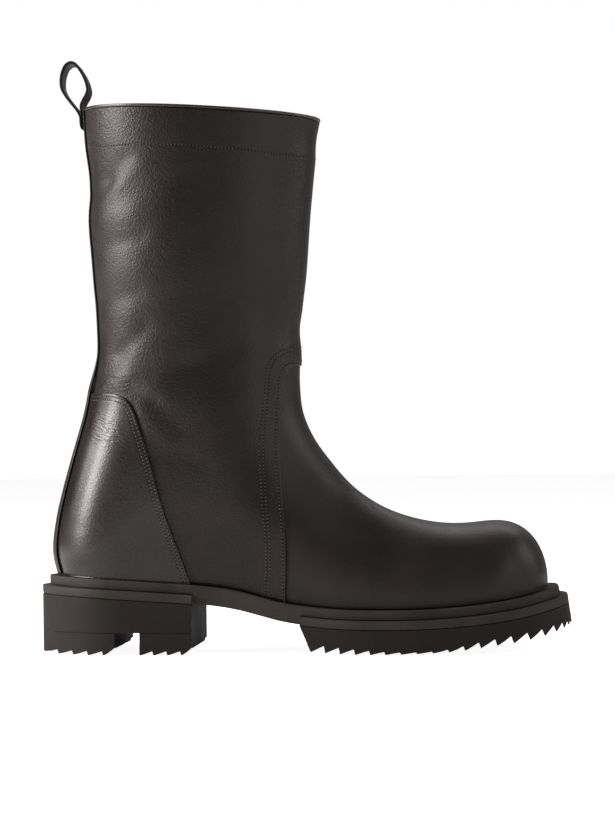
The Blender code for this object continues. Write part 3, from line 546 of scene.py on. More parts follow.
def lastSurface(station, share, side):
    # points of the last, in its own frame; side is -1 outer and 1 inner
    station, share, side = np.broadcast_arrays(*(np.asarray(v, float) for v in (station, share, side)))
    shape = station.shape
    station, share, side = (v.ravel() for v in (station, share, side))
    low, high = sectionEnds(station)
    place = sectionPlace(station, share)
    flat = low + place[:, None] * (high - low)
    values = [tableCurve(sectionRows, k, station) for k in range(2, 9)]
    table = np.stack((*values[:4], values[3]), 1)
    slopes = np.gradient(table, 0.25, axis=1)
    i = np.clip((place * 4).astype(int), 0, 3)
    t = place * 4 - i
    rows = np.arange(len(i))
    width = ((1 + 2 * t) * (1 - t) ** 2 * table[rows, i] + t ** 2 * (3 - 2 * t) * table[rows, i + 1]
             + 0.25 * t * (1 - t) * ((1 - t) * slopes[rows, i] - t * slopes[rows, i + 1]))
    width *= rounding(abs(nearLine(frontLine, flat)), values[4] * last["roundDepth"], values[5])
    width *= rounding(abs(nearLine(backLine, flat)), values[6] * last["roundDepth"], 2.15)
    width[(share > 0.99999) | ((share < 0.00001) & (station >= 1)) | (station <= 0)] = 0
    lift = np.clip((flat[:, 1] - soleTop(flat[:, 0])) / (0.45 * upperHeight), 0, 1)
    along = flat[:, 0] / footLength
    middle = tableCurve(axisRows, 1, along) * last["ballWidth"] * (1 - lift ** 2 * (3 - 2 * lift))
    narrow = 1 - (1 - tableCurve(innerSideRows, 1, along)) * (1 - lift)
    y = middle + np.where(side < 0, -width, width * narrow)
    return np.stack((flat[:, 0], y, flat[:, 1]), -1).reshape(shape + (3,))


# ---- folds: soft troughs and ridges of the worn leather, in mm in the last's side view

foldRows = (
    # side (-1 outer, 1 inner, 0 both), start x, z, end x, z, half width, depth (out is positive)
    (-1, 25, 271, 33, 280, 4.8, -1.0),
    (-1, 33, 280, 43, 291, 5.2, -0.8),
    (-1, 30, 267, 39, 276, 5.0, 0.5),
    (-1, 39, 276, 51, 285, 5.5, 0.35),
    (-1, 28, 256, 48, 259, 6.5, 0.5),
    (-1, 27, 241, 52, 245, 4.8, -0.7),
    (-1, 30, 225, 49, 227, 7.0, 0.5),
    (-1, 29, 209, 50, 213, 4.8, -0.5),
    (-1, 30, 197, 45, 200, 6.0, 0.4),
    (-1, 25, 162, 38, 178, 5.5, -0.9),
    (-1, 38, 178, 54, 192, 5.5, -0.8),
    (-1, 27, 159, 44, 164, 3.5, 0.4),
    (-1, 45, 156, 58, 148, 4.2, -0.9),
    (-1, 58, 148, 72, 133, 4.2, -0.9),
    (-1, 52, 142, 66, 126, 5.0, 0.7),
    (-1, 62, 121, 86, 112, 6.0, -0.5),
    (0, -1, 88, 13, 138, 26.0, -2.5),
    (-1, 57, 166, 80, 170, 6.5, -0.5),
    (-1, 80, 170, 104, 177, 6.5, -0.5),
    (-1, 62, 152, 118, 150, 9.0, 0.4),
    (-1, 106, 250, 108, 130, 14.0, -0.5),
    (0, 150, 290, 144, 205, 11.0, 1.7),
    (1, 26, 270, 48, 288, 5.5, -1.1),
    (1, 28, 239, 56, 246, 5.5, -0.7),
    (1, 30, 219, 52, 224, 7.0, 0.5),
    (1, 28, 164, 58, 192, 6.0, -0.9),
    (1, 46, 152, 78, 138, 4.2, -0.5),
    (1, 60, 170, 108, 178, 7.5, -0.5),
    (1, 102, 255, 106, 140, 14.0, -0.5),
)


def foldHeight(points):
    x, y, z = points[:, 0], points[:, 1], points[:, 2]
    total = np.zeros(len(points))
    for side, x1, z1, x2, z2, half, depth in foldRows:
        start = np.array((x1, z1)) * mm
        run = np.array((x2, z2)) * mm - start
        flat = np.c_[x, z] - start
        along = np.clip((flat @ run) / (run @ run), 0, 1)
        distance = np.linalg.norm(flat - along[:, None] * run, axis=1)
        weight = np.exp(-(distance / (half * mm)) ** 2)
        if side:
            weight *= np.clip(0.5 + side * y / 0.03, 0, 1)
        total += weight * depth * mm
    # nothing moves where the shaft meets the sole
    return total * np.clip((z - soleTop(x)) / 0.03, 0, 1)


# ---- mesh helpers

def gridPiece(points, faceOut=None):
    # a bmesh grid whose corners are set to rows x columns of places
    rows, columns = points.shape[:2]
    bm = bmesh.new()
    bmesh.ops.create_grid(bm, x_segments=columns - 1, y_segments=rows - 1, size=0.5)
    bm.verts.ensure_lookup_table()
    for vert, spot in zip(bm.verts, points.reshape(-1, 3)):
        vert.co = spot
    bm.normal_update()
    if faceOut is not None:
        seen = sum(face.normal.dot(Vector(faceOut(face.calc_center_median()))) * face.calc_area()
                   for face in bm.faces)
        if seen < 0:
            bmesh.ops.reverse_faces(bm, faces=bm.faces)
            bm.normal_update()
    return bm


def raiseGrid(bm, height):
    # moves every corner out along its own normal; height is one number or one for each corner
    lifts = np.broadcast_to(np.asarray(height, float).ravel(), (len(bm.verts),))
    normals = [vert.normal.copy() for vert in bm.verts]
    for vert, normal, lift in zip(bm.verts, normals, lifts):
        vert.co += normal * float(lift)
    bm.normal_update()


def weld(bm):
    bmesh.ops.remove_doubles(bm, verts=bm.verts, dist=0.00001)
    bmesh.ops.dissolve_degenerate(bm, edges=bm.edges, dist=0.000001)


def addPiece(name, mesh):
    mesh.shade_smooth()
    piece = bpy.data.objects.new(name, mesh)
    bpy.context.scene.collection.objects.link(piece)
    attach(piece, "root")
    return piece


def finishPiece(bm, name, materials, replaced=(), attributes=None, merge=True):
    for key, values in (attributes or {}).items():
        layer = bm.verts.layers.float.new(key)
        for vert, value in zip(bm.verts, np.asarray(values, float).ravel()):
            vert[layer] = float(value)
    if merge:
        weld(bm)
    bmesh.ops.translate(bm, verts=bm.verts, vec=Vector(modelShift))
    mesh = bpy.data.meshes.new(name)
    bm.to_mesh(mesh)
    bm.free()
    for material in materials:
        mesh.materials.append(material)
    piece = addPiece(name, mesh)
    if replaced:
        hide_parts(*replaced)
    return piece


def thicken(piece, thickness, rimMaterial=0, insideMaterial=0):
    wall = piece.modifiers.new("wall", "SOLIDIFY")
    wall.thickness = thickness
    wall.offset = -1
    wall.use_quality_normals = True
    wall.material_offset = insideMaterial
    wall.material_offset_rim = rimMaterial
    return wall


def edgeRoll(distance, radius):
    # how far a cut edge of that radius drops below the face, at a distance from the edge
    inside = np.clip((radius - np.asarray(distance, float)) / radius, 0, 1)
    return radius * (1 - np.sqrt(1 - inside ** 2))


def evenOut(bm, verts, turns):
    for turn in range(turns):
        bmesh.ops.smooth_vert(bm, verts=verts, factor=0.5, use_axis_x=True, use_axis_y=True, use_axis_z=True)
    bm.normal_update()


def smoothInside(bm, columns, turns, margin=1):
    # evens out a grid, but for its outermost rows and columns
    rows = len(bm.verts) // columns
    inside = [vert for k, vert in enumerate(bm.verts)
              if margin <= k % columns < columns - margin and margin <= k // columns < rows - margin]
    evenOut(bm, inside, turns)


def spacedPlaces(length, count, edges):
    # places along a run: close together near both ends
    near = np.asarray(edges, float)
    return np.r_[near, np.linspace(near[-1], length - near[-1], count)[1:-1], length - near[::-1]]


def outwards(point):
    # rough outward direction of the upper at a place
    return (0, point[1], 0)


# ---- upper: vamp and shaft

upperSet = {
    "wall": 1.8 * mm,
    "seamStep": 1.0 * mm,
    "tuck": 0.5 * mm,        # how far the shaft's foot draws in behind the counters
    "tuckLong": 60.0 * mm,
    "tuckHigh": 9.0 * mm,
    "soleGap": 0.15 * mm,
    "edgeRadius": 0.45 * mm,
    "vampRows": 150,
    "shaftRows": 190,
    "sideColumns": 72,
    "bindingDrop": 1.7 * mm,
    "collarEase": 1.5 * mm,
    "toeStart": 0.64,        # share of the foot length
    "toeSmooth": 90,
    "vampShort": 0.0006,     # share of the fan by which the vamp ends under the shaft's edge
}

extendedSeam = np.r_[[vampSeam[0] + (0.08, 0.0025)], vampSeam, [vampSeam[-1] + (-0.0002, -0.03)]]


def collarPlane(x):
    ease = upperSet["collarEase"]
    slope = (last["collarDrop"] - 0.7 * ease) / (frontEdge[-1][0] - backEdge[-1][0])
    return collarHeight - ease - slope * (x - backEdge[-1][0])


def firstCrossing(stations, values):
    # station at which each column of values first goes above nought
    above = values > 0
    index = np.maximum(above.argmax(0), 1)
    columns = np.arange(values.shape[1])
    one, other = values[index - 1, columns], values[index, columns]
    share = np.clip(-one / np.where(other == one, 1, other - one), 0, 1)
    return stations[index - 1] + share * (stations[index] - stations[index - 1])


columnShares = np.linspace(0, 1, upperSet["sideColumns"] + 1)
seamStations = np.linspace(0.30, 1.30, 500)
grid = np.meshgrid(seamStations, columnShares, indexing="ij")
flat = sidePoint(grid[0].ravel(), grid[1].ravel())
seamStation = firstCrossing(seamStations, -nearLine(extendedSeam, flat).reshape(grid[0].shape))


def stationAtHeight(height, shares):
    # station at which each column meets a slanting level of the shaft
    stations = np.linspace(1.4, 2.045, 420)
    both = np.meshgrid(stations, shares, indexing="ij")
    found = sidePoint(both[0].ravel(), both[1].ravel())
    return firstCrossing(stations, (found[:, 1] - height(found[:, 0])).reshape(both[0].shape))


collarStation = stationAtHeight(lambda x: collarPlane(x) - upperSet["bindingDrop"], columnShares)


def fanGrid(starts, ends, count, edges):
    # stations of a fan grid: rows close together near the named edges, evenly spread between
    dense = np.linspace(0, 1, 320)[:, None]
    stations = starts + dense * (ends - starts)
    outer = lastSurface(stations, columnShares[None], -1)
    run = np.linalg.norm(np.diff(outer, axis=0), axis=2)
    length = np.r_[np.zeros((1, run.shape[1])), np.cumsum(run, 0)]
    rows = []
    for k in range(len(columnShares)):
        total = length[-1, k]
        low = np.minimum(edges[0], total * 0.2)
        high = np.minimum(edges[1], total * 0.2)
        places = np.r_[low, np.linspace(low[-1], total - high[-1], count)[1:-1], total - high[::-1]]
        rows.append(np.interp(places, length[:, k], stations[:, k]))
    return np.array(rows).T


def bothSides(stations):
    # the outer side's columns from the sole up to the front ridge, then the inner side's back down
    shares = np.r_[columnShares, columnShares[-2::-1]]
    sides = np.r_[-np.ones(len(columnShares)), np.ones(len(columnShares) - 1)]
    spread = np.c_[stations, stations[:, -2::-1]]
    return lastSurface(spread, shares[None], sides[None])


sharpEdge = np.array((0, 0.15, 0.35, 0.7, 1.3)) * mm
softEdge = np.array((0, 0.8)) * mm
toeEdge = np.array((0, 0.4, 1.0)) * mm

shaftStations = fanGrid(seamStation, collarStation, upperSet["shaftRows"], (sharpEdge, softEdge))
nearestHeel = np.abs(shaftStations[:, 0] - 1).argmin()
shaftStations[nearestHeel, 0] = 1.0
shaftPoints = bothSides(shaftStations)
vampStations = fanGrid(np.zeros_like(seamStation), seamStation - upperSet["vampShort"], upperSet["vampRows"],
                       (toeEdge, sharpEdge[:2]))
vampPoints = bothSides(vampStations)
print("last worked out")

shaftLeather = leatherMaterial("grainedCalfLeather", 0.10, 0.13, 0.015, 0.36, 0.45, 0.05, (
    ((-0.111, 0.160), 0.017, 0.008, -6, 1.3, 0.34),
))
vampLeather = leatherMaterial("smoothCalfLeather", 0.03, 0.04, 0.05, 0.42, 0.50, 0.06)
counterLeather = leatherMaterial("polishedCalfLeather", 0.026, 0.03, 0.03, 0.22, 0.29, 0.36, (
    ((-0.117, 0.132), 0.021, 0.012, 14, 1.1, 0.20),
))


def inkedMaterial():
    # cut edge, inked black and rubbed
    material, tree, shader = newMaterial("inkedLeatherEdge", {
        "IOR": 1.5, "Roughness": 0.5, "Specular IOR Level": 0.3})
    noise = noiseOf(tree, objectPlace(tree), 2.5)
    setTone(tree, shader, noise, "#0f0d0c", "#1b1615")
    setBump(tree, shader, noise, 0.3, 0.1)
    return material


inkedEdge = inkedMaterial()


def liningMaterial():
    # unfinished pigskin lining: matte, fibrous, a little paler than the outside
    material, tree, shader = newMaterial("pigskinLining", {"IOR": 1.5, "Specular IOR Level": 0.3})
    place = objectPlace(tree)
    noise = noiseOf(tree, place, 9.0, 4.0)
    pores = addNode(tree, "ShaderNodeTexVoronoi", {"Scale": 1 / (1.3 * mm)}, {"Vector": place})
    setTone(tree, shader, noise, "#2b2421", "#453a34")
    setRough(tree, shader, noise, 0.62, 0.78)
    setBump(tree, shader, pores.outputs[0], 0.5, 0.2)
    return material


lining = liningMaterial()


def seamLines(points, lines):
    # nearest distance in mm from each point to any of the side view lines
    flat = points.reshape(-1, 3)[:, (0, 2)]
    return np.min([abs(nearLine(line, flat)) for line in lines], 0) / mm


def shiftedLine(line, distance):
    # side view line moved to its left by a distance
    run = np.gradient(line, axis=0)
    run /= np.linalg.norm(run, axis=1)[:, None]
    return line + distance * np.c_[-run[:, 1], run[:, 0]]


stitchSet = {
    "pitch": 2.1 * mm,
    "length": 1.25 * mm,
    "thread": 0.62 * mm,
    "hole": 0.38 * mm,       # width of the painted shade disc at each needle hole, drawn a little wider than a needle's, so that it shows
    "seamInset": 1.9 * mm,
    "counterInsets": (1.6 * mm, 3.9 * mm),
    "doubleGap": 2.3 * mm,
}

vampStitch = shiftedLine(extendedSeam, -stitchSet["seamInset"])
secondStitches = [shiftedLine(secondSeam, gap) for gap in (-stitchSet["doubleGap"] / 2, stitchSet["doubleGap"] / 2)]
counterStitches = [shiftedLine(counterEdge, -inset) for inset in stitchSet["counterInsets"]]


def buildShaft():
    settings = upperSet
    flatPoints = shaftPoints.reshape(-1, 3)
    bm = gridPiece(shaftPoints, outwards)
    seamDistance = np.clip(-nearLine(extendedSeam, flatPoints[:, (0, 2)]), 0, 1)
    lift = settings["seamStep"] - edgeRoll(seamDistance, settings["edgeRadius"]) + foldHeight(flatPoints)
    # behind the counter the shaft's foot keeps clear of it
    x, z = flatPoints[:, 0], flatPoints[:, 2]
    back = np.clip((settings["tuckLong"] - x) / 0.010, 0, 1)
    foot = np.clip((soleTop(x) + settings["tuckHigh"] - z) / 0.005, 0, 1)
    lift -= settings["tuck"] * (back * foot)
    raiseGrid(bm, lift)
    settleHem(bm, shaftPoints.shape, shaftStations)
    lines = [vampStitch, facingLine, *secondStitches]
    piece = finishPiece(bm, "shaft", [shaftLeather, lining], ["upper"], attributes={
        "stitchLine": seamLines(shaftPoints, lines), "edgeLine": seamDistance / mm})
    thicken(piece, settings["wall"] + settings["seamStep"], 0, 1)
    return piece


def settleHem(bm, shape, stations):
    # the lower edge stands just clear of the sole
    bm.verts.ensure_lookup_table()
    columns = shape[1]
    for row in range(shape[0]):
        if stations[row, 0] > 1:
            continue
        for column in (0, columns - 1):
            vert = bm.verts[row * columns + column]
            vert.co.z = float(soleTop(vert.co.x)) + upperSet["soleGap"]


def buildVamp():
    flatPoints = vampPoints.reshape(-1, 3)
    bm = gridPiece(vampPoints, lambda point: (point[0] - 0.2, point[1], 0.05))
    raiseGrid(bm, foldHeight(flatPoints))
    columns = vampPoints.shape[1]
    toe = [vert for k, vert in enumerate(bm.verts)
           if vert.co.x > upperSet["toeStart"] * footLength and 0 < k % columns < columns - 1 and k >= columns]
    evenOut(bm, toe, upperSet["toeSmooth"])
    settleHem(bm, vampPoints.shape, vampStations)
    seamDistance = np.clip(nearLine(extendedSeam, flatPoints[:, (0, 2)]), 0, 1)
    piece = finishPiece(bm, "vamp", [vampLeather, lining], attributes={
        "stitchLine": np.full(len(flatPoints), 9.0), "edgeLine": seamDistance / mm + 9})
    thicken(piece, upperSet["wall"], 0, 1)
    return piece


shaft = buildShaft()
buildVamp()
print("shaft and vamp done")


def pieceTree(*pieces):
    # one search tree of several pieces, in the last's frame
    corners, faces = [], []
    for piece in pieces:
        first = len(corners)
        corners += [vert.co - Vector(modelShift) for vert in piece.data.vertices]
        faces += [[first + k for k in face.vertices] for face in piece.data.polygons]
    return BVHTree.FromPolygons(corners, faces)


def bareTree(ends, rows):
    # search tree of the bare last, from the instep up to those stations
    stations = fanGrid(np.full_like(seamStation, 0.35), ends, rows, (softEdge, softEdge))
    bm = gridPiece(bothSides(stations), outwards)
    tree = BVHTree.FromBMesh(bm)
    bm.free()
    return tree


lastTree = bareTree(collarStation, 210)
# carried past the collar, for what stands at the rim
stripTree = bareTree(np.full_like(seamStation, 2.045), 230)


def ontoSide(tree, line, side):
    # side view points carried onto the outer or inner side
    found = []
    for x, z in line:
        spot = tree.ray_cast(Vector((x, side * 0.2, z)), Vector((0, -side, 0)))[0]
        if spot is not None:
            found.append(np.array(spot))
    return np.array(found)


def evenLine(points, places):
    length = lineLength(points)
    return np.stack([np.interp(places, length, points[:, k]) for k in range(3)], 1)


def patchGrid(tree, bottom, top, start, end):
    # fills the field between four edges, then lays it on the surface
    rows, columns = len(start), len(bottom)
    u = lineLength(bottom)[None, :, None] / lineLength(bottom)[-1]
    v = lineLength(start)[:, None, None] / lineLength(start)[-1]
    field = ((1 - v) * bottom[None] + v * top[None] + (1 - u) * start[:, None] + u * end[:, None]
             - (1 - u) * (1 - v) * bottom[0] - u * (1 - v) * bottom[-1] - (1 - u) * v * top[0] - u * v * top[-1])
    for row in range(rows):
        for column in range(columns):
            field[row, column] = tree.find_nearest(Vector(field[row, column]))[0]
    return field


# ---- heel counter halves

counterSet = {
    "under": 1.3 * mm,      # height of its inner face over the last
    "leather": 1.2 * mm,
    "stripHalf": 10.3 * mm,
    "rows": 74,
    "columns": 56,
    "edgeRadius": 0.5 * mm,
    "corner": 0.1475,       # its rounded upper corner, share of the foot length
}
heelMiddle = float(tableCurve(axisRows, 1, 0.0)) * last["ballWidth"]
counterTop = float(counterEdge[3][1])


def backPoint(tree, y, z):
    spot = tree.ray_cast(Vector((-0.2, y, z)), Vector((1, 0, 0)))[0]
    return spot or tree.find_nearest(Vector((-0.01, y, z)))[0]


def buildCounter(side, name, node):
    settings = counterSet
    edge = ontoSide(lastTree, counterEdge, side)
    stripY = heelMiddle + side * settings["stripHalf"]
    strip = np.array([backPoint(lastTree, stripY, float(z))
                      for z in np.linspace(soleHeightAt(stripY), counterTop, 60)])
    # the top edge runs from the strip to the rounded corner, the front edge from there to the sole
    corner = int(np.argmin(abs(counterEdge[:, 0] - settings["corner"] * footLength)))
    corner = min(corner, len(edge) - 10)
    topEdge = np.r_[[strip[-1]], edge[edge[:, 0] > strip[-1][0] + 0.0015]]
    cornerIndex = int(np.argmin(np.linalg.norm(topEdge - edge[corner], axis=1)))
    topLine = topEdge[:cornerIndex + 1]
    frontLineDown = topEdge[cornerIndex:]
    ends = (1 - frontLineDown[-1][0] / footLength, 1 - strip[0][0] / footLength)
    bottomLine = lastSurface(np.linspace(*ends, 60), 0.0, side)[::-1]
    bottomLine[0], bottomLine[-1] = strip[0], frontLineDown[-1]
    rowsAt = spacedShares(strip, settings["rows"], sharpEdge)
    columnsAt = spacedShares(bottomLine, settings["columns"], sharpEdge)
    start = evenLine(strip, rowsAt * lineLength(strip)[-1])
    end = evenLine(frontLineDown[::-1], rowsAt * lineLength(frontLineDown)[-1])
    bottom = evenLine(bottomLine, columnsAt * lineLength(bottomLine)[-1])
    top = evenLine(topLine, columnsAt * lineLength(topLine)[-1])
    points = patchGrid(lastTree, bottom, top, start, end)
    flatPoints = points.reshape(-1, 3)
    bm = gridPiece(points, outwards)
    edgeDistance = abs(nearLine(counterEdge, flatPoints[:, (0, 2)]))
    stripDistance = abs(abs(flatPoints[:, 1] - heelMiddle) - settings["stripHalf"])
    nearest = np.minimum(edgeDistance, np.where(flatPoints[:, 0] < 0.05, stripDistance, 1))
    lift = settings["under"] + settings["leather"] - edgeRoll(nearest, settings["edgeRadius"])
    raiseGrid(bm, lift + foldHeight(flatPoints))
    smoothInside(bm, points.shape[1], 5, 5)
    bm.verts.ensure_lookup_table()
    for column in range(points.shape[1]):
        vert = bm.verts[column]
        vert.co.z = float(soleTop(vert.co.x)) + upperSet["soleGap"]
    piece = finishPiece(bm, name, [counterLeather], [node], attributes={
        "stitchLine": seamLines(points, counterStitches), "edgeLine": nearest / mm})
    thicken(piece, settings["leather"])
    return piece


def spacedShares(line, count, edges):
    length = lineLength(line)[-1]
    return spacedPlaces(length, count, edges) / length


def soleHeightAt(y):
    spot = 0.0
    for x in np.linspace(-0.004, 0.02, 49):
        side = 1 if y > heelMiddle else -1
        edge = lastSurface(np.array([1 - max(x, 0) / footLength]), 0.0, side)[0]
        if abs(edge[1] - heelMiddle) >= abs(y - heelMiddle):
            spot = x
            break
    return float(soleTop(spot)) + 0.0004


counterOuter = buildCounter(-1, "counterOuter", "heel_counter_outer")
counterInner = buildCounter(1, "counterInner", "heel_counter_inner")
print("heel counter done")


# ---- back strip: a raised leather tape over the back seam and the counters' edges

stripSet = {
    "half": 12.5 * mm,
    "under": 1.05 * mm,
    "leather": 1.25 * mm,
    "edgeRadius": 0.4 * mm,
    "rows": 190,
    "columns": 20,
    "overCounter": 1.5 * mm,
    "crown": 0.7 * mm,
    "rampTop": 23.0 * mm,    # where its rise over the counters starts, above their top
    "rampLong": 22.0 * mm,
}


def buildStrip():
    settings = stripSet
    half = settings["half"]
    across = spacedPlaces(2 * half, settings["columns"], sharpEdge[:4]) - half
    points = np.zeros((settings["rows"], len(across), 3))
    for column, y in enumerate(across):
        low = soleHeightAt(heelMiddle + y) - 0.0002
        top = float(collarPlane(backEdge[-1][0])) - 0.0006
        for row, z in enumerate(np.linspace(low, top, settings["rows"])):
            points[row, column] = backPoint(stripTree, heelMiddle + y, float(z))
    bm = gridPiece(points, lambda point: (-1, 0, 0))
    flatPoints = points.reshape(-1, 3)
    edgeDistance = half - abs(flatPoints[:, 1] - heelMiddle)
    lift = settings["under"] + settings["leather"] - edgeRoll(edgeDistance, settings["edgeRadius"])
    # below the counter's top it lies over the counter's edges
    lower = np.clip((counterTop + settings["rampTop"] - flatPoints[:, 2]) / settings["rampLong"], 0, 1)
    rise = 1 - (1 - edgeDistance / half) ** 2
    lift += (settings["overCounter"] + settings["crown"] * rise) * lower ** 2 * (3 - 2 * lower)
    raiseGrid(bm, lift + foldHeight(flatPoints))
    bm.verts.ensure_lookup_table()
    for k in range(4 * len(across)):
        # the lowest rows carry on in the direction of those above
        row, column = divmod(k, len(across))
        near, far = (bm.verts[n * len(across) + column].co for n in (4, 7))
        bm.verts[k].co.xy = near.xy + (near.xy - far.xy) * (4 - row) / 3
    smoothInside(bm, len(across), 3)
    plain = np.full(len(flatPoints), 9.0)
    piece = finishPiece(bm, "backStrip", [shaftLeather, inkedEdge], ["back_strip"],
                        attributes={"stitchLine": plain, "edgeLine": plain})
    thicken(piece, settings["leather"], 1, 0)
    return piece


backStrip = buildStrip()
print("back strip done")


# ---- collar binding: a folded leather edge, worn reddish where it rubs

bindingSet = {
    "width": 3.4 * mm,
    "height": 2.1 * mm,
    "middle": -0.35 * mm,    # its middle lies inside the last's face by this much
    "foot": 0.55,            # share of its width at the shaft
    "squareness": 0.55,      # 1 is an oval, less is more of a rectangle
    "gap": 0.05 * mm,
    "around": 28,
    "along": 130,
}


def edgeLeather():
    # cut and burnished edge: warmer, smoother and a little paler than the grain side
    material, tree, shader = newMaterial("burnishedLeatherEdge", {
        "IOR": 1.5, "Coat Weight": 0.3, "Coat Roughness": 0.25})
    place = objectPlace(tree)
    streak = noiseOf(tree, place, 7.0, 3.0)
    setTone(tree, shader, streak, "#211815", "#3d2b24")
    setRough(tree, shader, streak, 0.34, 0.5)
    setBump(tree, shader, noiseOf(tree, place, 0.7), 0.6, 0.1)
    return material


burnishedEdge = edgeLeather()


def rimPath(drop, count):
    # closed line round the collar on the bare last, and the outward direction at each place
    shares = np.linspace(0, 1, count + 1)
    stations = stationAtHeight(lambda x: collarPlane(x) - drop, shares)
    outer = lastSurface(stations, shares, -1)
    inner = lastSurface(stations, shares, 1)
    path = np.r_[outer, inner[-2:0:-1]]
    run = np.roll(path, -1, 0) - np.roll(path, 1, 0)
    out = np.c_[run[:, 1], -run[:, 0], np.zeros(len(run))]
    out /= np.linalg.norm(out, axis=1)[:, None]
    if (out * (path - path.mean(0))).sum() < 0:
        out = -out
    return path, out


def buildBinding():
    settings = bindingSet
    path, out = rimPath(upperSet["bindingDrop"], settings["along"])
    folds = foldHeight(path)
    turn = np.linspace(0, 2 * math.pi, settings["around"] + 1)
    # a soft rectangle: wide, low, with round corners
    power = settings["squareness"]
    wide = np.sign(np.cos(turn)) * abs(np.cos(turn)) ** power * settings["width"] / 2 + settings["middle"]
    tall = np.sign(np.sin(turn)) * abs(np.sin(turn)) ** power * settings["height"] / 2
    # its foot is narrower and leaves a dark line over the shaft
    wide = np.where(tall < -0.3 * settings["height"], wide * settings["foot"], wide)
    tall += settings["height"] / 2 + settings["gap"]
    loop = np.r_[np.arange(len(path)), 0]
    points = path[loop][:, None] + out[loop][:, None] * (wide[None, :, None] + folds[loop][:, None, None])
    points[..., 2] += tall[None]
    bm = gridPiece(points)
    bmesh.ops.remove_doubles(bm, verts=bm.verts, dist=0.00001)
    bmesh.ops.recalc_face_normals(bm, faces=bm.faces)
    return finishPiece(bm, "collarBinding", [burnishedEdge])


buildBinding()
print("collar binding done")


# ---- stitches: bonded polyester thread, and flat dark discs painted as the shade of the needle holes

def threadMaterial():
    # waxed dark thread: softly shining
    material, tree, shader = newMaterial("waxedThread", {"IOR": 1.5, "Roughness": 0.38})
    twist = noiseOf(tree, objectPlace(tree), 0.5, 1.0)
    setTone(tree, shader, twist, "#342b27", "#5c5049")
    setBump(tree, shader, twist, 0.5, 0.05)
    return material


def holeShadeMaterial():
    # painted shade: a flat near-black disc standing for the shadow in a needle hole
    material, tree, shader = newMaterial("paintedHoleShade", {"Roughness": 0.95, "Specular IOR Level": 0.05})
    setTone(tree, shader, noiseOf(tree, objectPlace(tree), 0.8), "#050404", "#0b0908")
    return material


threadFinish = threadMaterial()
holeShadeFinish = holeShadeMaterial()


def beadShape(along, rings):
    # one bead of thread as a mesh to copy
    bm = bmesh.new()
    bmesh.ops.create_uvsphere(bm, u_segments=along, v_segments=rings, radius=1.0)
    corners = np.array([vert.co for vert in bm.verts])
    faces = [[vert.index for vert in face.verts] for face in bm.faces]
    bm.free()
    return corners, faces


threadBead = beadShape(6, 5)
holeShadeBead = beadShape(6, 4)


def stitchRow(threads, holeShades, tree, path, pitch):
    # places for threads, and for the painted shade discs of the holes, along a line laid on the surface
    total = lineLength(path)[-1]
    count = max(2, int(total / pitch))
    places = (np.arange(count) + 0.5) * total / count
    middles = evenLine(path, places)
    ends = evenLine(path, places + stitchSet["length"] / 2)
    starts = evenLine(path, places - stitchSet["length"] / 2)
    half = stitchSet["thread"] / 2
    for middle, start, end in zip(middles, starts, ends):
        spot, normal = tree.find_nearest(Vector(middle))[:2]
        along = Vector(end - start)
        along = (along - normal * along.dot(normal)).normalized()
        across = normal.cross(along)
        turned = Matrix((along, across, normal)).transposed().to_4x4()
        threads.append(Matrix.Translation(spot + normal * half * 0.15) @ turned
                       @ Matrix.Diagonal((stitchSet["length"] / 2, half, half * 0.8, 1)))
        # painted shade: a thin dark disc lying just over the surface between two stitches
        holeShades.append(Matrix.Translation(spot + along * (pitch / 2) + normal * 0.03 * mm) @ turned
                     @ Matrix.Diagonal((stitchSet["hole"] * 1.15, stitchSet["hole"], 0.08 * mm, 1)))


def manyBeads(bead, places, name, material):
    # one mesh of a bead copied to every place
    corners, faces = bead
    turns = np.array([[list(row) for row in place] for place in places])
    spots = np.einsum("nij,kj->nki", turns[:, :3, :3], corners) + turns[:, None, :3, 3]
    spots = spots.reshape(-1, 3) + modelShift
    links = [[k + n * len(corners) for k in face] for n in range(len(places)) for face in faces]
    mesh = bpy.data.meshes.new(name)
    mesh.from_pydata(spots.tolist(), [], links)
    mesh.materials.append(material)
    addPiece(name, mesh)


def seamPath(tree, line):
    # one side's line up to the front ridge and the other side's back down
    return np.r_[ontoSide(tree, line, -1)[::-1], ontoSide(tree, line, 1)]


def smoothPath(path):
    return evenLine(path, np.linspace(0, lineLength(path)[-1], 400))


def buildStitches():
    threads, holeShades = [], []
    shaftTree = pieceTree(shaft)
    pitch = stitchSet["pitch"]
    visible = lambda path: path[path[:, 2] > soleTop(path[:, 0]) + 0.0012]
    for line in (vampStitch, *secondStitches):
        path = seamPath(shaftTree, smoothLine(line, 500))
        stitchRow(threads, holeShades, shaftTree, smoothPath(visible(path)), pitch)
    # facing row: right round the shaft, from one side of the back strip to the other
    shares = np.linspace(0.0, 1, 200)
    heights = lambda x: np.interp(x, facingLine[:, 0], facingLine[:, 1])
    stations = stationAtHeight(heights, shares)
    outer, inner = lastSurface(stations, shares, -1), lastSurface(stations, shares, 1)
    path = np.r_[outer, inner[-2::-1]]
    keep = (abs(path[:, 1]) > stripSet["half"] + 0.0015) | (path[:, 0] > 0.05)
    stitchRow(threads, holeShades, shaftTree, smoothPath(path[keep]), pitch)
    for side, piece in ((-1, counterOuter), (1, counterInner)):
        tree = pieceTree(piece)
        for line in counterStitches:
            path = ontoSide(tree, smoothLine(line, 400), side)
            stitchRow(threads, holeShades, tree, smoothPath(visible(path)), pitch)
    manyBeads(threadBead, threads, "stitches", threadFinish)
    # the hole discs are painted shade, not recesses
    manyBeads(holeShadeBead, holeShades, "holeShadeDiscs", holeShadeFinish)


buildStitches()
print("stitches done")


# ---- pull loop: a folded leather strap behind the collar

loopSet = {
    "width": 22.0 * mm,
    "strap": 1.5 * mm,
    "edge": 0.3 * mm,
    "lean": 0.9 * mm,        # collar corner behind which the strap stands, from the strip's face
}
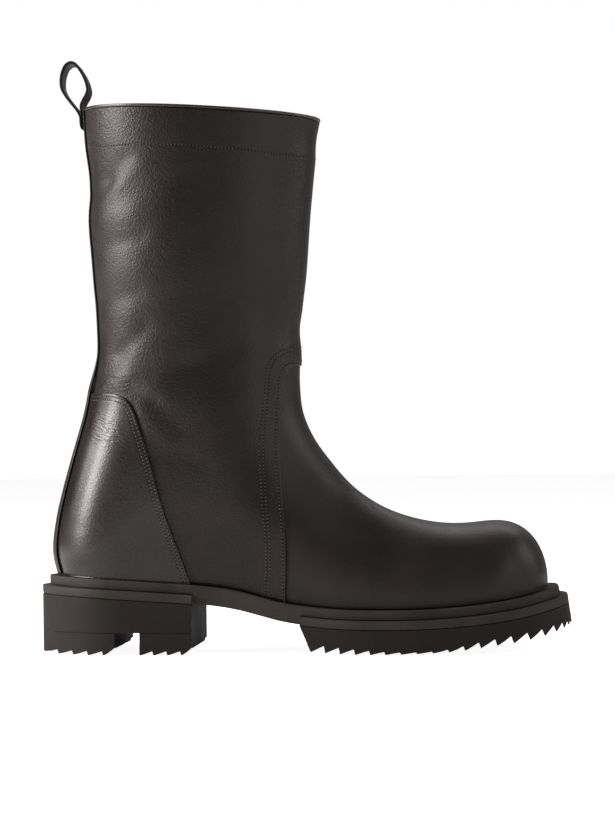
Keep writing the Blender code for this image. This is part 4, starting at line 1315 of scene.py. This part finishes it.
# strap in side view, in mm from the collar's back corner: up the outside, over and down again
loopRows = (
    (-2.2, -4.1), (-3.6, -1.3), (-7.7, 4.1), (-11.4, 9.2), (-13.2, 12.9), (-13.6, 17.4), (-12.6, 22.9),
    (-10.4, 26.9), (-7.5, 28.3), (-5.0, 27.4), (-2.2, 23.8), (0.3, 19.3), (1.9, 14.7), (2.3, 11.9),
    (1.4, 8.7), (-0.4, 5.5), (-1.6, 2.6), (-1.5, -1.3),
)


def buildLoop():
    settings = loopSet
    strip = pieceTree(backStrip)
    top = float(collarPlane(backEdge[-1][0]))

    def face(drop):
        # the strip's outer face at a drop below the collar
        return float(backPoint(strip, heelMiddle, top - drop * mm - 0.0012).x)

    half = settings["strap"] / 2 + 0.05 * mm
    corner = face(0.5) + settings["lean"]
    tab = [(face(11.5) - half, top - 11.5 * mm), (face(8.5) - half - 0.5 * mm, top - 8.5 * mm)]
    loop = [(corner + x * mm, top + z * mm) for x, z in loopRows]
    back = [(face(4.0) - half, top - 4.0 * mm), (face(7.0) - half, top - 7.0 * mm)]
    path = smoothLine(tab + loop + back, 150)
    across = spacedPlaces(settings["width"], 9, np.array((0, 0.3)) * mm) - settings["width"] / 2
    points = np.zeros((len(path), len(across), 3))
    points[..., 0] = path[:, :1]
    points[..., 1] = heelMiddle + across
    points[..., 2] = path[:, 1:]
    bm = gridPiece(points)
    distance = settings["width"] / 2 - abs(np.broadcast_to(across, points.shape[:2]))
    piece = finishPiece(bm, "pullLoop", [shaftLeather, inkedEdge, lining], ["pull_loop"],
                        attributes={"stitchLine": abs(distance / mm - 1.8), "edgeLine": distance / mm + 9})
    wall = thicken(piece, settings["strap"], 1, 2)
    wall.offset = 0
    soft = piece.modifiers.new("softEdge", "BEVEL")
    soft.width = settings["edge"]
    soft.segments = 2
    soft.limit_method = "ANGLE"
    soft.angle_limit = math.radians(50)
    return piece


buildLoop()
print("pull loop done")


# ---- sole: rings of the last's feather line, grown outwards

soleSet = {
    "weltBand": 5.6 * mm,
    "stepBand": 5.2 * mm,
    "heelBreast": 80.0 * mm,
    "forefootRear": 143.6 * mm,
    "edgeRound": 0.8 * mm,
    "groove": 0.7 * mm,
    "backGrow": 2.9 * mm,    # the sole stands out a little more behind the heel
    "backReach": 0.10,       # share of the side's length that this fades over
    "tipRound": 0.6 * mm,    # length of the outline's rounding at heel and toe
    "toeSpring": 17.0 * mm,
}


def featherSides(count=361):
    turns = np.linspace(0, math.pi, count)
    x = footLength * (1 - np.cos(turns)) / 2
    station = 1 - x / footLength
    outer = lastSurface(station, 0.0, -1)[:, :2]
    inner = lastSurface(station, 0.0, 1)[:, :2]
    for line in (outer, inner):
        # both ends are rounded off from their tips
        for end, share in ((0, 0.0), (-1, 1.0)):
            tip = float(tableCurve(axisRows, 1, share)) * last["ballWidth"]
            depth = abs(line[:, 0] - share * footLength)
            near = depth < soleSet["tipRound"]
            edge = np.flatnonzero(~near)[end]
            line[near, 1] = tip + (line[edge, 1] - tip) * np.sqrt(depth[near] / depth[edge])
    return outer, inner


def grownSides(offset):
    outer, inner = featherSides()
    loop = np.r_[outer, inner[-2:0:-1]]
    tangent = np.roll(loop, -1, 0) - np.roll(loop, 1, 0)
    tangent /= np.linalg.norm(tangent, axis=1)[:, None]
    grown = loop + offset * np.c_[tangent[:, 1], -tangent[:, 0]]
    count = len(outer)
    return grown[:count], np.r_[grown[:1], grown[:count - 1:-1], grown[count - 1:count]]


weltSides = grownSides(last["weltLedge"])


def sideAt(side, shares, offset, grow=True):
    # places on a side's outline at shares of its length, moved outwards
    line = weltSides[side]
    length = lineLength(line)
    at = lambda share: np.stack([np.interp(np.clip(share, 0, 1) * length[-1], length, line[:, k])
                                 for k in (0, 1)], 1)
    tangent = at(shares + 0.004) - at(shares - 0.004)
    tangent /= np.linalg.norm(tangent, axis=1)[:, None]
    outward = np.c_[tangent[:, 1], -tangent[:, 0]] * (1 if side == 0 else -1)
    outward[shares < 0.0001] = (-1, 0)
    outward[shares > 0.9999] = (1, 0)
    if grow:
        offset = offset + soleSet["backGrow"] * np.clip(1 - shares / soleSet["backReach"], 0, 1) ** 2
    return at(shares) + outward * np.asarray(offset)[:, None]


def shareOnSide(side, x):
    # share of a side's length at which it passes a place along the boot
    line = weltSides[side]
    widest = int(np.argmax(line[:, 0]))
    length = lineLength(line)
    return float(np.interp(x, line[:widest + 1, 0], length[:widest + 1]) / length[-1])


def wallTilt(x):
    slope = (soleTop(x + 0.002) - soleTop(x - 0.002)) / 0.004
    return np.where(x > 0.66 * footLength, np.clip(slope, 0, 1), 0)


def closedShell(rings, across):
    # a closed body from pairs of side lines, from its top edge round to its under edge
    down = [pair[0] for pair in rings]
    up = [pair[1] for pair in rings[::-1]]
    parts = np.linspace(0, 1, across + 2)[1:-1]
    under = [down[-1] * (1 - t) + up[0] * t for t in parts]
    over = [up[-1] * (1 - t) + down[0] * t for t in parts]
    bm = gridPiece(np.stack(down + under + up + over + [down[0]], 1))
    weld(bm)
    bmesh.ops.holes_fill(bm, edges=[edge for edge in bm.edges if edge.is_boundary], sides=0)
    bmesh.ops.recalc_face_normals(bm, faces=bm.faces)
    return bm


def soleShell(name, shares, profile, materials, replaced, across=5, grow=True):
    # one cross-section for each share, from the profile of offsets and depths
    rings = []
    for offset, depth in profile:
        pair = []
        for side in (0, 1):
            plan = sideAt(side, shares, np.broadcast_to(offset, shares.shape), grow)
            x, y = plan.T
            z = soleTop(x) - depth
            lean = wallTilt(x) * depth
            pair.append(np.c_[x + lean, y, z])
        rings.append(pair)
    piece = finishPiece(closedShell(rings, across), name, materials, replaced)
    piece.data.set_sharp_from_angle(angle=math.radians(40))
    return piece


def rubberMaterial(name, dark, pale, dust, grain, roughLow, roughHigh):
    # moulded rubber: matte skin with a fine spark-eroded grain and a little bloom
    material, tree, shader = newMaterial(name, {"IOR": 1.52, "Specular IOR Level": 0.25})
    place = objectPlace(tree)
    cloud = noiseOf(tree, place, 22.0, 4.0)
    speck = noiseOf(tree, place, grain, 3.0)
    tone = mixColour(tree, fitRange(tree, cloud, 0.32, 0.7, 0, 1), linear(dark), linear(pale))
    bloom = fitRange(tree, speck, 0.56, 0.72, 0, 0.35)
    tone = mixColour(tree, bloom, tone, linear(dust))
    tree.links.new(tone, shader.inputs["Base Color"])
    setRough(tree, shader, cloud, roughLow, roughHigh)
    height = sums(tree, "ADD", sums(tree, "MULTIPLY", speck, 0.06), sums(tree, "MULTIPLY", cloud, 0.25))
    setBump(tree, shader, height, 1.0, 1.0)
    return material


midsoleRubber = rubberMaterial("matteMouldedRubber", "#2d2724", "#3b3430", "#4d4540", 0.7, 0.64, 0.76)
outsoleRubber = rubberMaterial("darkTreadRubber", "#1a1311", "#211916", "#312824", 0.8, 0.62, 0.76)


def buildMidsole():
    settings = soleSet
    heelEnd, foreEnd = (shareOnSide(0, settings[key]) for key in ("heelBreast", "forefootRear"))
    ease = 0.0008
    curve = (1 - np.cos(np.linspace(0, math.pi / 2, 16))) * 0.06
    shares = np.r_[curve, np.linspace(0.064, heelEnd - 0.004, 44), heelEnd - ease, heelEnd + ease,
                   np.linspace(heelEnd + 0.006, foreEnd - 0.006, 34), foreEnd - ease, foreEnd + ease,
                   np.linspace(foreEnd + 0.004, 0.936, 90), 1 - curve[::-1]]
    stepped = (shares < heelEnd) | (shares > foreEnd)
    step = np.where(stepped, last["stepLedge"], 0)
    r, groove = settings["edgeRound"], settings["groove"]
    band, total = settings["weltBand"], settings["weltBand"] + settings["stepBand"]
    # between heel and forefoot the rim is one plain band
    flat = np.where(stepped, 1.0, 0.0)
    ledge = last["stepLedge"] - r
    profile = [
        (-1.6 * r, 0.0), (-r, 0.0), (-0.62 * r, 0.08 * r), (-0.29 * r, 0.29 * r), (-0.08 * r, 0.62 * r), (0.0, r),
        (0.0, band - 0.9 * r), (-0.1 * r * flat, band - 0.5 * r), (-(0.4 * r + groove) * flat, band - 0.1 * r),
        (-(0.4 * r + groove) * flat, band + 0.25 * r), (0.1 * r * flat, band + 0.3 * r),
        (ledge * 0.6 * flat, band + 0.32 * r), (ledge * flat, band + 0.34 * r),
        ((step - 0.6 * r) * flat, band + 0.4 * r), ((step - 0.2 * r) * flat, band + 0.6 * r),
        (step, band + r), (step, total - 0.6 * r),
        (step - 0.3 * r, total - 0.1 * r), (step - 0.8 * r, total),
    ]
    return soleShell("midsole", shares, profile, [midsoleRubber], ["midsole"])


buildMidsole()
print("midsole done")


# ---- insole: a thin leather sock over foam

def buildInsole():
    shares = np.r_[(1 - np.cos(np.linspace(0, math.pi / 2, 12))) * 0.08, np.linspace(0.09, 0.91, 60),
                   1 - (1 - np.cos(np.linspace(math.pi / 2, 0, 12))) * 0.08]
    inset = -last["weltLedge"] - 1.8 * mm - 1.6 * mm
    thick, gap = 3.0 * mm, 0.3 * mm
    top = -thick - gap
    profile = [(inset - 2.0 * mm, top), (inset - 0.9 * mm, top), (inset - 0.3 * mm, top + 0.3 * mm),
               (inset, top + 0.9 * mm), (inset, -gap)]
    return soleShell("insole", shares, profile, [lining], ["insole"], across=9, grow=False)


buildInsole()


# ---- tread: heel block in two layers with a notch across it, and the forefoot's slab

treadSet = {
    "width": 15.0 * mm,      # toothed rim
    "recess": 3.4 * mm,      # floor of the tread inside the rim
    "parting": 13.1 * mm,    # height of the mould's parting line on the heel
    "partingDip": 0.22 * mm,
    "skew": 1.2 * mm,
    "notchRear": 35.4 * mm,
    "notchFront": 49.9 * mm,
    "breast": 80.9 * mm,
    "chamfer": 6.3 * mm,
    "chamferRise": 4.4 * mm,
    "heelPitch": 8.8 * mm,
    "heelDepth": 2.3 * mm,
    "forePitch": 8.9 * mm,
    "foreDepth": 2.8 * mm,
    "slant": 6.4 * mm,
    "gap": 0.3 * mm,
}
# lower edge of the forefoot's tread: share of the foot length, share of the toe spring
treadRows = (
    (0.48, 0.190), (0.52, 0.130), (0.58, 0.060), (0.66, 0.035), (0.73, 0.065), (0.80, 0.130), (0.86, 0.270),
    (0.92, 0.420), (0.97, 0.600), (1.00, 0.740), (1.03, 0.860), (1.08, 1.030),
)
# teeth grow shallow in the middle of the forefoot: share of the side's length, share of the depth
shallowRows = ((0.0, 1.0), (0.57, 1.0), (0.63, 0.45), (0.70, 0.40), (0.74, 0.95), (1.0, 1.0))


def toothShares(start, end, length, pitch):
    # tip, slope and upright drop of each tooth: shares along the side and how far the tread is lifted
    count = max(1, round((end - start) * length / pitch))
    step = (end - start) / count
    shares, lifts = [], []
    for k in range(count):
        for place, lift in ((0, 0), (0.07, 0), (0.5, 0.52), (0.88, 1), (0.93, 0.98)):
            shares.append(start + (k + place) * step)
            lifts.append(lift)
    return shares + [end], lifts + [0]


def treadBody(sides, ground, roof, roofDip=0.0, slant=0.0):
    # sides: shares and lifts of the outer and of the inner side, whose teeth run straight in;
    # roof gives its upper height
    settings = treadSet
    edge = last["stepLedge"]

    def ring(offset, height):
        pair = []
        for side, (shares, lifts) in enumerate(sides):
            shares = np.asarray(shares, float)
            x, y = sideAt(side, shares, np.full(len(shares), edge)).T
            inwards = heelMiddle - y
            y = y + np.sign(inwards) * np.minimum(edge - offset, abs(inwards) - 0.05 * mm).clip(0)
            z = np.maximum(height(x, np.asarray(lifts, float)), 0)
            x = x + wallTilt(x) * (soleTop(x) - z)
            if slant:
                full = roof(x[0]) - ground(x[0])
                x[0] = x[1] - slant * (z[0] - ground(x[0])) / full
            pair.append(np.c_[x, y, z])
        return pair

    width, recess = settings["width"], settings["recess"]
    return closedShell([
        ring(edge - 0.3 * mm - roofDip, lambda x, lift: roof(x)),
        ring(edge - roofDip, lambda x, lift: roof(x) - 0.15 * mm),
        ring(edge, lambda x, lift: roof(x) - 0.3 * mm),
        ring(edge, lambda x, lift: ground(x) + lift + 0.1 * mm),
        ring(edge - 0.1 * mm, lambda x, lift: ground(x) + lift),
        ring(edge - width, lambda x, lift: ground(x) + lift),
        ring(edge - width - 0.8 * mm, lambda x, lift: ground(x) + recess),
        ring(edge - width - 4.0 * mm, lambda x, lift: ground(x) + recess),
    ], 3)


def underMidsole(x):
    return soleTop(x) - soleSet["weltBand"] - soleSet["stepBand"] - treadSet["gap"]


def joinBodies(bodies, name, material, node):
    # closed bodies put together in one mesh
    whole = bmesh.new()
    for bm in bodies:
        part = bpy.data.meshes.new("part")
        bm.to_mesh(part)
        bm.free()
        whole.from_mesh(part)
        bpy.data.meshes.remove(part)
    piece = finishPiece(whole, name, [material], [node], merge=False)
    piece.data.set_sharp_from_angle(angle=math.radians(28))
    return piece


def buildHeel():
    settings = treadSet
    parting, skew, depth = settings["parting"], settings["skew"], settings["heelDepth"]
    level = lambda x: 0 * x
    seam = lambda x: 0 * x + parting

    def edges(x):
        return shareOnSide(0, x - skew), shareOnSide(1, x + skew)

    def lug(start, end):
        # teeth evenly spaced along the boot, then a hollow chamfer up to the lug's front
        sides = []
        for side, lean in ((0, -skew), (1, skew)):
            first = weltSides[side][0, 0] if start is None else start + lean
            places, lifts = toothShares(first, end - settings["chamfer"] + lean, 1.0, settings["heelPitch"])
            shares = [shareOnSide(side, x) for x in places]
            lifts = [lift * depth for lift in lifts]
            chamfer = shares[-1]
            for t in (0.25, 0.5, 0.75, 1.0):
                shares.append(chamfer + t * (edges(end)[side] - chamfer))
                lifts.append(settings["chamferRise"] * t ** 1.35)
            sides.append((shares, lifts))
        return treadBody(sides, level, seam, settings["partingDip"])

    breast = edges(settings["breast"])
    spread = np.r_[(1 - np.cos(np.linspace(0, math.pi / 2, 12))) * 0.3, np.linspace(0.36, 1, 14)]
    block = closedShell([
        [blockSide(side, breast[side] * spread, offset, height) for side in (0, 1)]
        for offset, height in ((-0.5 * mm, underMidsole), (0.0, lambda x: underMidsole(x) - 0.5 * mm),
                               (0.0, lambda x: parting + 0.15 * mm + 0 * x), (-settings["partingDip"], seam))], 3)
    rear = lug(None, settings["notchRear"])
    front = lug(settings["notchFront"], settings["breast"])
    return joinBodies([block, rear, front], "heelBlock", outsoleRubber, "heel")


def blockSide(side, shares, offset, height):
    x, y = sideAt(side, shares, np.full(len(shares), last["stepLedge"] + offset)).T
    return np.c_[x, y, height(x)]


def buildOutsole():
    settings = treadSet
    ground = lambda x: tableCurve(treadRows, 1, np.asarray(x) / footLength) * soleSet["toeSpring"]
    sides = []
    for side in (0, 1):
        length = lineLength(weltSides[side])[-1]
        start = shareOnSide(side, soleSet["forefootRear"])
        tips = shareOnSide(side, soleSet["forefootRear"] + settings["slant"])
        shares, lifts = toothShares(tips, 1.0, length, settings["forePitch"])
        depths = settings["foreDepth"] * tableCurve(shallowRows, 1, np.array(shares))
        sides.append(([start] + shares, [0.0] + list(np.array(lifts) * depths)))
    count = min(len(sides[0][0]), len(sides[1][0]))
    sides = [(shares[:count - 1] + shares[-1:], lifts[:count - 1] + lifts[-1:]) for shares, lifts in sides]
    body = treadBody(sides, ground, underMidsole, 0.0, settings["slant"])
    return joinBodies([body], "forefootTread", outsoleRubber, "outsole")


buildHeel()
buildOutsole()
print("sole done")
